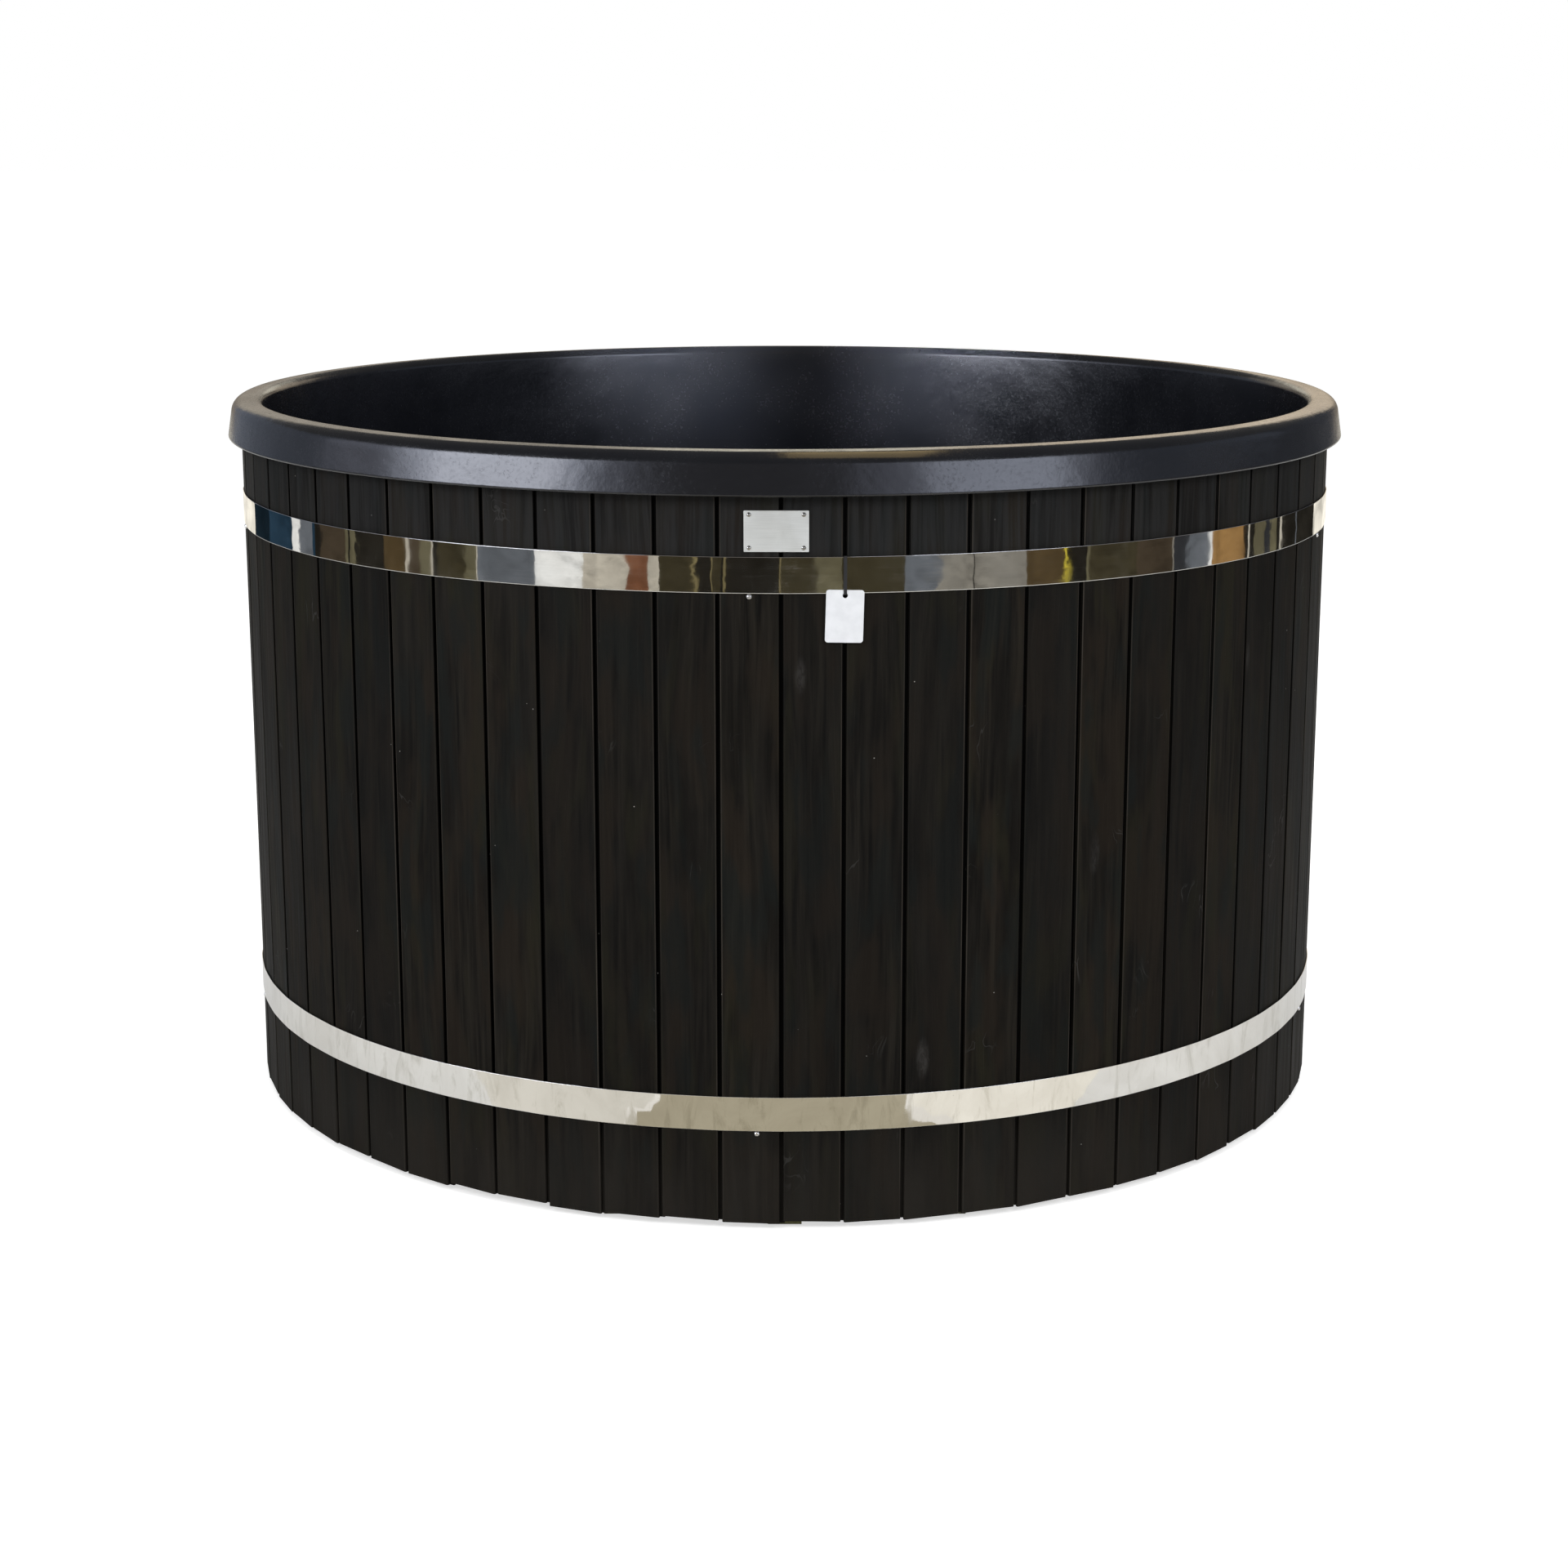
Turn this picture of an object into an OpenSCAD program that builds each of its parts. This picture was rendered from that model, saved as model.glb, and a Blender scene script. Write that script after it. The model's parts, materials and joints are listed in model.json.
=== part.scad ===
/* [Overall] */
// Height of the top of the rim above the ground
total_h = 1105; // [900:5:1300]
// Radius from the axis to the outer faces of the boards
body_r = 867; // [750:1:1000]

/* [Tub shell] */
// Wall thickness of the moulded shell
shell_t = 8; // [5:0.5:12]
// Draft angle of the shell's wall
shell_draft = 1.3; // [0.5:0.1:2]
// Radius of the inside corner between the wall and the floor
floor_fillet = 60; // [30:5:90]
// Radius of the rim's inner edge, on its dry side
lip_r = 6; // [4:1:12]
// Radius of the rim's outer shoulder, on its dry side
shoulder_r = 12; // [6:1:16]
// How far the rim's shoulder stands out from the boards
rim_overhang = 16; // [14:1:30]
// Height of the rim from its top to the skirt's lower edge
rim_h = 60; // [45:1:90]
// Rounding of the skirt's lower edge
skirt_edge_r = 3; // [1:0.5:3.5]
// Flare of the rim's skirt
skirt_flare = 9; // [0:1:15]

/* [Cladding] */
// Number of boards round the tub
board_count = 63; // [54:1:72]
// Board thickness
board_t = 16; // [14:1:22]
// Visible gap between two boards
board_gap = 5; // [3:0.5:6]
// Radius of the boards' front edges
board_edge_r = 3; // [1:0.5:4]
// Thickness of a board's tongue
tongue_t = 5; // [4:0.5:6]
// How far a tongue reaches past the middle of the joint
tongue_reach = 5; // [3:0.5:6]
// Height of the boards' lower ends above the ground
board_bottom = 8; // [4:1:30]
// Angle of the joint nearest the front
joint_az = -0.33; // [-2:0.01:2]

/* [Steel bands] */
// Band height
band_w = 50; // [30:1:60]
// Band thickness
band_t = 1.2; // [0.8:0.1:2]
// Height of the lower band's lower edge
lower_band_z = 147; // [120:1:200]
// Depth of the upper band's upper edge below the rim's top
upper_band_drop = 143; // [125:1:235]
// Gap between a band's two ends
band_end_gap = 36; // [24:1:50]
// Thickness of a tension lug's sheet
lug_t = 3; // [2:0.5:4]
// How far a lug's ear stands out from the band
lug_ear = 27; // [22:1:34]
// Length of a lug's foot along the band
lug_foot = 26; // [20:1:34]
// Radius of the tension bolt
bolt_r = 4; // [3:0.5:5]

/* [Band rest screws] */
// Number of screws that a band rests on
rest_count = 5; // [3:2:9]
// Radius of the head
rest_head_r = 4; // [3:0.5:6]
// Height of the head
rest_head_h = 3; // [2:0.5:4]
// Radius of the shank
rest_shank_r = 1.8; // [1.5:0.1:2.5]
// Length of the shank in the board
rest_shank_l = 13; // [8:1:14]
// Sideways shift of the lower band's screws on their boards
lower_rest_shift = 9; // [0:1:12]

/* [Plate and tag] */
// Width of the plate
plate_w = 88; // [60:1:110]
// Height of the plate
plate_h = 56; // [40:1:60]
// Thickness of the plate
plate_t = 1; // [0.8:0.1:2]
// Angle of the plate's middle
plate_az = -0.75; // [-2:0.05:2]
// Gap between the plate and the upper band
plate_lift = 7; // [3:1:12]
// Screw inset from the plate's sides
plate_inset_x = 7; // [5:0.5:10]
// Screw inset from the plate's top and bottom
plate_inset_z = 5.5; // [4:0.5:10]
// Radius of the plate's screw heads
plate_head_r = 3.2; // [2.5:0.1:4]
// Height of the plate's screw heads
plate_head_h = 2; // [1.5:0.1:2.4]
// Radius of the plate's screws
plate_shank_r = 1.5; // [1.2:0.1:1.8]
// Length of the plate's screws in the boards
plate_shank_l = 13; // [8:1:14]
// Width of the hanging tag
tag_w = 52; // [40:1:60]
// Height of the hanging tag
tag_h = 72; // [50:1:90]
// Thickness of the hanging tag
tag_t = 0.8; // [0.5:0.1:1.5]
// Corner radius of the hanging tag
tag_corner = 4; // [2:0.5:8]
// Distance from the tag's top edge to its hole
tag_hole_drop = 7.5; // [6:0.5:10]
// Thickness of the strip that holds the tag
loop_t = 1; // [0.6:0.1:1.4]

/* [Hoops and insulation] */
// Height of a mounting hoop
hoop_h = 50; // [30:1:60]
// Thickness of a mounting hoop
hoop_t = 8; // [6:1:12]
// Height of the lower hoop's lower edge above the shell's underside
lower_hoop_lift = 5; // [2:1:20]
// Height of the middle hoop's lower edge
middle_hoop_z = 530; // [400:5:600]
// Depth of the upper hoop's top edge below the rim's top
upper_hoop_drop = 40; // [30:1:50]

/* [Base] */
// Joist width
joist_w = 48; // [40:1:60]
// Joist height
joist_h = 73; // [73:1:100]
// Distance from the edge of the deck to the middle of the outer joists
outer_joist_inset = 141; // [120:1:180]
// Thickness of the deck on the joists
deck_t = 12; // [9:1:18]
// Thickness of the floor insulation
floor_foam_t = 30; // [25:1:50]

/* [Bench] */
// Height of the seat above the floor of the footwell
seat_h = 400; // [350:5:420]
// Radius of the footwell, to the seat's nose
footwell_r = 430; // [380:5:480]
// Thickness of the bench's sheet
bench_t = 12; // [8:1:14]
// Depth of the seat's nose
nose_h = 48; // [40:1:60]
// Outer radius of the nose's bend
nose_r = 18; // [15:1:24]
// Thickness of the riser
riser_t = 8; // [6:1:10]
// Number of water slots in the riser
slot_count = 20; // [12:1:28]
// Width of a water slot
slot_w = 22; // [14:1:30]
// Height of a water slot
slot_h = 210; // [120:5:240]
// Height of the slots' lower ends above the floor
slot_lift = 50; // [30:5:80]
// Number of ribs below the seat
rib_count = 8; // [4:2:12]
// Height of a rib at the wall
rib_h = 120; // [80:5:140]
// Height of a rib at the riser
rib_front_h = 72; // [40:2:78]

/* [Stove pipes] */
// Height of the upper pipe
upper_pipe_z = 700; // [640:5:780]
// Height of the lower pipe
lower_pipe_z = 255; // [250:5:300]
// Outer radius of the spigot for the hose
spigot_r = 30; // [24:1:34]
// Length of the spigot
spigot_l = 55; // [40:1:80]
// Bore radius of a pipe
pipe_bore_r = 27; // [20:1:27]
// Radius of the threaded part through the wall
pipe_thread_r = 32; // [28:1:36]
// Radius of the inner flange
pipe_flange_r = 52; // [48:1:54]
// Thickness of the inner flange
pipe_flange_t = 4; // [3:0.5:6]
// Thickness of the gasket behind the inner flange
pipe_gasket_t = 2; // [1:0.5:4]
// Radius of the flat seat moulded into the wall round a pipe
pipe_seat_r = 56; // [54:1:64]
// Radius of the lock nut
pipe_nut_r = 46; // [42:1:50]
// Thickness of the lock nut
pipe_nut_t = 12; // [8:1:16]
// How far the threaded part stands out of the boards
pipe_stand = 6; // [3:0.5:10]
// Thickness of a grille
grille_t = 3; // [2:0.5:5]
// Number of slots in a grille and in the strainer
grille_slots = 12; // [8:1:14]
// Width of these slots
grille_slot_w = 5; // [3:0.5:5]
// Radius of the solid middle of a grille
grille_hub_r = 14; // [12:0.5:18]
// Width of the solid edge of a grille
grille_edge_w = 13; // [8:0.5:16]

/* [Drain] */
// Place of the drain behind the middle of the floor
drain_y = 180; // [100:5:260]
// Outer radius of the drain pipe
drain_pipe_r = 25; // [20:1:26]
// Bore radius of the drain
drain_bore_r = 21; // [16:1:21]
// Height of the drain pipe's axis
drain_axis_z = 38; // [36:1:40]
// Outer radius of the outlet's stem in the floor
drain_stem_r = 28; // [26:1:30]
// Radius of the outlet's flange
drain_flange_r = 50; // [44:1:60]
// Thickness of the outlet's flange
drain_flange_t = 5; // [3:0.5:8]
// Thickness of the outlet's gasket
drain_gasket_t = 2; // [1:0.5:4]
// Thickness of the strainer
strainer_t = 4; // [3:0.5:6]
// Radius of the lock nut under the floor
drain_nut_r = 39; // [36:1:40]
// Thickness of the lock nut under the floor
drain_nut_t = 12; // [8:1:16]

/* [Drain valve] */
// Distance from the boards to the middle of the valve
valve_stand = 62; // [56:1:80]
// Radius of the valve's housing
valve_r = 32; // [31:0.5:34]
// Length of the valve's housing
valve_l = 62; // [60:1:80]
// Length of the six-sided ends of the valve's housing
valve_hex_l = 12; // [8:1:16]
// Wall of the six-sided ends at their corners
valve_hex_wall = 9; // [8:0.5:9]
// Radius of the ball
ball_r = 27; // [26.5:0.5:27.5]
// Bore radius of the ball
ball_bore_r = 18; // [14:1:19]
// Radius of the stem
stem_r = 6; // [4:0.5:7]
// Radius of the neck round the stem
neck_r = 12; // [10:0.5:15]
// Height of the neck's top above the pipe's axis
neck_h = 44; // [40:1:50]
// Length of the lever from the stem
lever_l = 104; // [80:1:130]
// Width of the lever
lever_w = 18; // [14:1:24]
// Thickness of the lever
lever_t = 3; // [2:0.5:4]
// Length of the grip
grip_l = 62; // [40:1:70]
// Thickness of the grip round the lever
grip_t = 2; // [1.5:0.5:3]
// Outer radius of the hose tail
tail_r = 25; // [20:1:28]
// Length of the hose tail
tail_l = 40; // [30:1:60]
// Wall of the hose tail
tail_wall = 3; // [2:0.5:4]
// Thickness of the hose tail's flange
tail_flange_t = 8; // [5:1:12]

/* [Hidden] */
BOARD_NODES = 9;
JOIST_NODES = 7;

// Clearances
fit = 0.3;
flat_gap = 0.5;
thread_gap = 0.2;
face_gap = 0.1;
press_gap = 0.05;
over = 1;

// How far a cut through the boards reaches past them
cut_reach = 40;

// Sides of a hexagon and of a lock nut
HEX = 6;
LOCK_SIDES = 8;

// Proportions of bolts and nuts
hex_ratio = 1.8;
head_ratio = 1.3;
nut_ratio = 1.6;
washer_ratio = 1.3;

// Colours
black_plastic = "#202126";
stained_wood = "#282522";
raw_wood = "#b09468";
treated_wood = "#7d7a52";
steel = "#b9b7b0";
foam = "#e4e0cf";
rubber = "#1a1a1a";
paper = "#f4f4f2";
brass = "#b59a52";
grip_red = "#a3231c";

// Boards
board_step = 360 / board_count;
board_half_step = board_step / 2;
joint_half = body_r * tan(board_half_step);
face_half = joint_half - board_gap / 2;
mid_joint_half = (body_r - board_t / 2) * tan(board_half_step);
board_inner_r = body_r - board_t;
board_corner_r = norm([body_r - board_edge_r, face_half - board_edge_r]) + board_edge_r;
hoop_outer_r = board_inner_r - fit;
hoop_inner_r = hoop_outer_r - hoop_t;

// Shell
lip_water_r = lip_r + shell_t;
lip_z = total_h - lip_water_r;
shell_dry_top_r = hoop_inner_r - fit;
shell_top_r = shell_dry_top_r - shell_t;
lip_x = shell_top_r + lip_water_r;
shoulder_water_r = shoulder_r + shell_t;
shoulder_z = total_h - shoulder_water_r;
shoulder_x = body_r + rim_overhang - shoulder_water_r;
skirt_bottom = total_h - rim_h;
skirt_edge_z = skirt_bottom + skirt_edge_r;
board_top_inset = max(0, board_corner_r - shoulder_x);
board_top = shoulder_z + sqrt(pow(shoulder_r, 2) - pow(board_top_inset, 2)) - flat_gap;
shell_bottom = joist_h + deck_t + floor_foam_t;
floor_z = shell_bottom + shell_t;
function wall_r(z) = shell_top_r - (lip_z - z) * tan(shell_draft);
fillet_z = floor_z + floor_fillet;
fillet_x = wall_r(fillet_z) - floor_fillet / cos(shell_draft);

// Flat faces of a pipe's seat, clear of the curved and drafted wall on both sides
function seat_in(z) = sqrt(pow(wall_r(z - pipe_seat_r), 2) - pow(pipe_seat_r, 2));
function seat_out(z) = wall_r(z + pipe_seat_r) + shell_t / cos(shell_draft);
function flange_face(z) = seat_in(z) - pipe_gasket_t;

// Bands
band_inner_r = board_corner_r + fit;
band_outer_r = band_inner_r + band_t;
lug_az = atan((band_end_gap / 2 + lug_foot / 2) / band_outer_r);
upper_band_z = total_h - upper_band_drop - band_w;
bolt_spare_l = 20;
bolt_head_r = bolt_r * hex_ratio;
bolt_head_t = bolt_r * head_ratio;
washer_r = bolt_head_r * washer_ratio;
washer_t = 1.6;
bolt_nut_t = bolt_r * nut_ratio;
lug_edge = 3;
lug_h = band_w - 2 * lug_edge;
lug_foot_r = band_outer_r + face_gap;
washer_room = 2.4;
bolt_radius_at = lug_foot_r + lug_t + washer_r + washer_room;
lug_hole_r = bolt_r + flat_gap;

// How far from the middle the tilted ears reach, under a washer on the bolt
ear_out = bolt_radius_at * sin(lug_az) - (lug_foot / 2 - lug_t) * cos(lug_az)
  + washer_r * sin(lug_az) + face_gap;

// Bench
seat_top = floor_z + seat_h;
seat_under = seat_top - bench_t;
riser_in_r = footwell_r + nose_r + fit;
riser_out_r = riser_in_r + riser_t;
shell_gap = 0.4;
pocket_gap = 1;

// Base
edge_gap = 2;
base_r = board_inner_r - edge_gap;
joist_end_r = base_r - edge_gap;
joist_pitch = 2 * (base_r - outer_joist_inset) / (JOIST_NODES - 1);

// Plate and tag
plate_z = upper_band_z + band_w + plate_lift + plate_h / 2;
plate_back_r = board_corner_r + face_gap;
tag_az = joint_az + board_step;
tag_stand = 0.6;
tag_back_r = band_outer_r + tag_stand;
loop_w = board_gap - 2 * fit;
tag_hole_margin = 1.3;
tag_hole_r = loop_w / 2 + tag_hole_margin;
loop_low_z = upper_band_z - fit;
tag_hole_z = loop_low_z - sqrt(pow(tag_hole_r - fit, 2) - pow(loop_w / 2, 2));
tag_top = tag_hole_z + tag_hole_drop;
loop_back_r = band_inner_r - fit;
loop_front_r = tag_back_r + tag_t + fit;
loop_high_z = upper_band_z + band_w + fit;

// Drain
valve_y = body_r + valve_stand;
valve_front = valve_y - valve_l / 2;
valve_back = valve_y + valve_l / 2;
pipe_insert = 8;
pipe_end = valve_front + pipe_insert;
drain_x = joist_pitch / 2;
drain_gasket_z = floor_z + drain_gasket_t;
drain_hole_margin = 3;
drain_hole_r = drain_nut_r + drain_hole_margin;
notch_margin = 4;
pipe_notch_r = drain_pipe_r + notch_margin;
valve_hex_r = drain_pipe_r + valve_hex_wall;
socket_wall = 5;
socket_r = drain_stem_r + socket_wall;
socket_lap = 5;
socket_top = joist_h + deck_t + socket_lap;

// Valve's stem, lever and hose tail
stem_socket = 6;
stem_low = drain_axis_z + ball_r - stem_socket;
lever_gap = 2;
lever_z = drain_axis_z + neck_h + lever_gap;
lever_nut_t = 6;
stem_spare_l = 2;
stem_top = lever_z + lever_t + lever_nut_t + stem_spare_l;
tail_neck_r = tail_r - tail_wall;
tail_bore_r = tail_neck_r - tail_wall;
tail_insert = 4;
tail_flange_w = 4;
tail_flange_r = tail_r + tail_flange_w;
tail_flange_y = valve_back + valve_hex_l + flat_gap;
tail_start = tail_flange_y + tail_flange_t;

// Discs and gaskets
gasket_inset = 2;
disc_inset = 6;
board_hole_margin = 1.5;
pipe_step_r = body_r + pipe_stand;
groove_gap = 0.8;
groove_room = 1.5;

// Turns a piece that is drawn at the front, which faces -Y, to another angle
module at_az(a) {
  rotate([0, 0, a]) children();
}

// A cylinder that lies along the outward direction at the front
module radial_rod(r, from_r, to_r, z, x = 0) {
  translate([x, -from_r, z]) rotate([90, 0, 0]) cylinder(r = r, h = to_r - from_r, $fn = 96);
}

// A cylinder, or a bar with few sides, along +Y at the drain pipe's axis
module drain_rod(r, y0, y1, sides = 96) {
  translate([drain_x, y0, drain_axis_z]) rotate([-90, 0, 0]) cylinder(r = r, h = y1 - y0, $fn = sides);
}

// A standing cylinder at the drain
module drain_post(r, z0, z1, sides = 96) {
  translate([drain_x, drain_y, z0]) cylinder(r = r, h = z1 - z0, $fn = sides);
}

// Points along an arc
function arc(cx, cz, r, a0, a1, n) = [
  for (i = [0:n]) let (a = a0 + (a1 - a0) * i / n) [cx + r * cos(a), cz + r * sin(a)]
];

// The distance from the axis of the skirt at height z, d inwards from its outer face
function skirt_r(z, d) = shoulder_x + (shoulder_water_r - d) / cos(skirt_flare)
  + (shoulder_z - z) * tan(skirt_flare);

// Half section of the shell: floor, drafted wall, rolled rim and flared skirt
function shell_outline() = concat(
  [[0, floor_z]],
  arc(fillet_x, fillet_z, floor_fillet, -90, -shell_draft, 8),
  arc(lip_x, lip_z, lip_water_r, 180 - shell_draft, 90, 10),
  arc(shoulder_x, shoulder_z, shoulder_water_r, 90, skirt_flare, 12),
  arc(skirt_r(skirt_edge_z, skirt_edge_r), skirt_edge_z, skirt_edge_r, skirt_flare, -90, 5),
  [[skirt_r(skirt_bottom, shell_t), skirt_bottom]],
  arc(shoulder_x, shoulder_z, shoulder_r, skirt_flare, 90, 8),
  arc(lip_x, lip_z, lip_r, 90, 180 - shell_draft, 6),
  arc(fillet_x, fillet_z, floor_fillet + shell_t, -shell_draft, -90, 8),
  [[0, shell_bottom]]
);

module inner_tub() {
  color(black_plastic)
  difference() {
    union() {
      rotate_extrude($fn = 180) polygon(shell_outline());
      for (z = [upper_pipe_z, lower_pipe_z]) at_az(180) radial_rod(pipe_seat_r, seat_in(z), seat_out(z), z);
    }
    for (z = [upper_pipe_z, lower_pipe_z]) {
      at_az(180) radial_rod(pipe_thread_r + fit, seat_in(z) - over, seat_out(z) + over, z);
    }
    drain_post(drain_stem_r + fit, shell_bottom - over, floor_z + over);
  }
}

// Half section of the seat: a flat ring with a turned-down nose
function seat_outline() = concat(
  [[wall_r(seat_under) - shell_gap, seat_under], [wall_r(seat_top) - shell_gap, seat_top]],
  arc(footwell_r + nose_r, seat_top - nose_r, nose_r, 90, 180, 6),
  [[footwell_r, seat_top - nose_h], [footwell_r + bench_t, seat_top - nose_h]],
  arc(footwell_r + nose_r, seat_top - nose_r, nose_r - bench_t, 180, 90, 4)
);

module bench_seat() {
  color(black_plastic) rotate_extrude($fn = 180) polygon(seat_outline());
}

// A slot with round ends, cut through the riser at the front
module riser_slot(z_low) {
  for (z = [z_low + slot_w / 2, z_low + slot_h - slot_w / 2]) {
    radial_rod(slot_w / 2, riser_in_r - over, riser_out_r + over, z);
  }
  translate([-slot_w / 2, -riser_out_r - over, z_low + slot_w / 2])
    cube([slot_w, riser_t + 2 * over, slot_h - slot_w]);
}

module bench_riser() {
  color(black_plastic)
  difference() {
    translate([0, 0, floor_z]) cylinder(r = riser_out_r, h = seat_under - floor_z, $fn = 180);
    translate([0, 0, floor_z - over]) cylinder(r = riser_in_r, h = seat_h + over, $fn = 180);
    for (i = [0:slot_count - 1]) {
      at_az((i + 0.5) * 360 / slot_count) riser_slot(floor_z + slot_lift);
    }
  }
}

module bench_rib() {
  rotate([90, 0, -90]) translate([0, 0, -bench_t / 2]) linear_extrude(bench_t)
    polygon([
      [riser_out_r + fit, seat_under],
      [wall_r(seat_under) - shell_gap, seat_under],
      [wall_r(seat_under - rib_h) - shell_gap, seat_under - rib_h],
      [riser_out_r + fit, seat_under - rib_front_h]
    ]);
}

module bench_ribs() {
  color(black_plastic)
  for (i = [0:rib_count - 1]) at_az((i + 0.5) * 360 / rib_count) bench_rib();
}

// Room for the pipes' seats and lock nuts in the foam
module seat_pockets() {
  for (z = [upper_pipe_z, lower_pipe_z]) {
    at_az(180) radial_rod(pipe_seat_r + pocket_gap, seat_in(z), body_r, z);
  }
}

module wall_insulation() {
  top = total_h - upper_hoop_drop - hoop_h - fit;
  lower_z = shell_bottom + lower_hoop_lift;
  notch_r = hoop_inner_r - fit;
  color(foam)
  difference() {
    rotate_extrude($fn = 180) polygon([
      [wall_r(shell_bottom) + shell_t + fit, shell_bottom],
      [hoop_outer_r, shell_bottom],
      [hoop_outer_r, lower_z - fit],
      [notch_r, lower_z - fit],
      [notch_r, lower_z + hoop_h + fit],
      [hoop_outer_r, lower_z + hoop_h + fit],
      [hoop_outer_r, middle_hoop_z - fit],
      [notch_r, middle_hoop_z - fit],
      [notch_r, middle_hoop_z + hoop_h + fit],
      [hoop_outer_r, middle_hoop_z + hoop_h + fit],
      [hoop_outer_r, top],
      [wall_r(top) + shell_t + fit, top]
    ]);
    seat_pockets();
  }
}

module floor_insulation() {
  color(foam)
  difference() {
    translate([0, 0, joist_h + deck_t]) cylinder(r = base_r, h = floor_foam_t, $fn = 180);
    drain_post(drain_hole_r, joist_h, shell_bottom + over);
  }
}

module base_deck() {
  color(raw_wood)
  difference() {
    translate([0, 0, joist_h]) cylinder(r = base_r, h = deck_t, $fn = 180);
    drain_post(drain_hole_r, joist_h - over, joist_h + deck_t + over);
  }
}

module joist(i) {
  x = (i - (JOIST_NODES - 1) / 2) * joist_pitch;
  edge = abs(x) + joist_w / 2;
  half = sqrt(joist_end_r * joist_end_r - edge * edge);
  color(treated_wood) translate([x - joist_w / 2, -half, 0]) cube([joist_w, 2 * half, joist_h]);
}

module hoop(z) {
  color(black_plastic) translate([0, 0, z])
  difference() {
    cylinder(r = hoop_outer_r, h = hoop_h, $fn = 180);
    translate([0, 0, -over]) cylinder(r = hoop_inner_r, h = hoop_h + 2 * over, $fn = 180);
  }
}

// Section of a board: round front edges, a tongue at +X and a groove at -X
module board_section() {
  tongue_half = tongue_t / 2;
  groove_half = tongue_half + groove_gap;
  mid = -body_r + board_t / 2;
  difference() {
    union() {
      translate([-face_half, -body_r + board_edge_r])
        square([2 * face_half, board_t - board_edge_r]);
      translate([-face_half + board_edge_r, -body_r])
        square([2 * (face_half - board_edge_r), board_t]);
      for (s = [-1, 1]) {
        translate([s * (face_half - board_edge_r), -body_r + board_edge_r])
          circle(r = board_edge_r, $fn = 32);
      }
      translate([0, mid - tongue_half]) square([mid_joint_half + tongue_reach, tongue_t]);
    }
    translate([-face_half - over, mid - groove_half])
      square([face_half + over - mid_joint_half + tongue_reach + groove_room, 2 * groove_half]);
  }
}

function board_az(i) = joint_az + (i + 0.5) * board_step;

// Holes for the screws that stand in the boards
module pilot_holes() {
  depth_r = body_r - rest_shank_l - over;
  for (k = [0:rest_count - 1]) at_az(rest_az(k)) {
    radial_rod(rest_shank_r + press_gap, depth_r, body_r + over, rest_z(upper_band_z));
    radial_rod(rest_shank_r + press_gap, depth_r, body_r + over, rest_z(lower_band_z), lower_rest_shift);
  }
  at_az(plate_az) plate_corners() {
    radial_rod(plate_shank_r + press_gap, plate_back_r - plate_shank_l - over, plate_back_r + over,
      plate_z);
  }
}

// Holes for the stove pipes and a notch for the drain pipe
module board_cuts() {
  for (z = [upper_pipe_z, lower_pipe_z]) {
    at_az(180)
      radial_rod(pipe_thread_r + board_hole_margin, board_inner_r - cut_reach, body_r + cut_reach, z);
  }
  drain_rod(pipe_notch_r, board_inner_r - cut_reach, body_r + cut_reach);
  translate([drain_x - pipe_notch_r, board_inner_r - cut_reach, 0])
    cube([2 * pipe_notch_r, board_t + 2 * cut_reach, drain_axis_z]);
}

module board(i) {
  at_az(board_az(i)) translate([0, 0, board_bottom])
    linear_extrude(board_top - board_bottom) board_section();
}

// One ninth of the boards, from the joint nearest the front round to the right
module cladding_boards(k) {
  first = ceil(k * board_count / BOARD_NODES);
  last = ceil((k + 1) * board_count / BOARD_NODES) - 1;
  color(stained_wood)
  difference() {
    for (i = [first:last]) board(i);
    pilot_holes();
    if (abs(board_az((first + last) / 2) - 180) < 180 / BOARD_NODES) board_cuts();
  }
}

module band(z) {
  color(steel)
  difference() {
    translate([0, 0, z]) cylinder(r = band_outer_r, h = band_w, $fn = 180);
    translate([0, 0, z - over]) cylinder(r = band_inner_r, h = band_w + 2 * over, $fn = 180);
    translate([-band_end_gap / 2, body_r - cut_reach, z - over])
      cube([band_end_gap, 2 * cut_reach, band_w + 2 * over]);
  }
}

// A bent lug on one end of a band: a foot on the band and an ear with the bolt's hole
module band_lug(side, z) {
  near_end = -side * lug_foot / 2;
  low = z + (band_w - lug_h) / 2;
  rotate([0, 0, side * lug_az])
  difference() {
    union() {
      translate([-lug_foot / 2, -lug_foot_r - lug_t, low]) cube([lug_foot, lug_t, lug_h]);
      translate([near_end - (side < 0 ? lug_t : 0), -lug_foot_r - lug_ear, low])
        cube([lug_t, lug_ear, lug_h]);
    }
    translate([-lug_foot, -bolt_radius_at, z + band_w / 2]) rotate([0, 90, 0])
      cylinder(r = lug_hole_r, h = 2 * lug_foot, $fn = 48);
  }
}

module band_lugs(z) {
  color(steel) at_az(180) for (side = [-1, 1]) band_lug(side, z);
}

module band_bolt(z) {
  color(steel) at_az(180) translate([-ear_out, -bolt_radius_at, z + band_w / 2]) rotate([0, 90, 0]) {
    cylinder(r = bolt_r, h = 2 * ear_out + washer_t + bolt_nut_t + bolt_spare_l, $fn = 48);
    translate([0, 0, -bolt_head_t]) cylinder(r = bolt_head_r, h = bolt_head_t, $fn = HEX);
  }
}

module band_nut(z) {
  color(steel) at_az(180) translate([ear_out, -bolt_radius_at, z + band_w / 2]) rotate([0, 90, 0])
  difference() {
    union() {
      cylinder(r = washer_r, h = washer_t, $fn = 48);
      cylinder(r = bolt_head_r, h = washer_t + bolt_nut_t, $fn = HEX);
    }
    translate([0, 0, -over])
      cylinder(r = bolt_r + press_gap, h = washer_t + bolt_nut_t + 2 * over, $fn = 48);
  }
}

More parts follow.
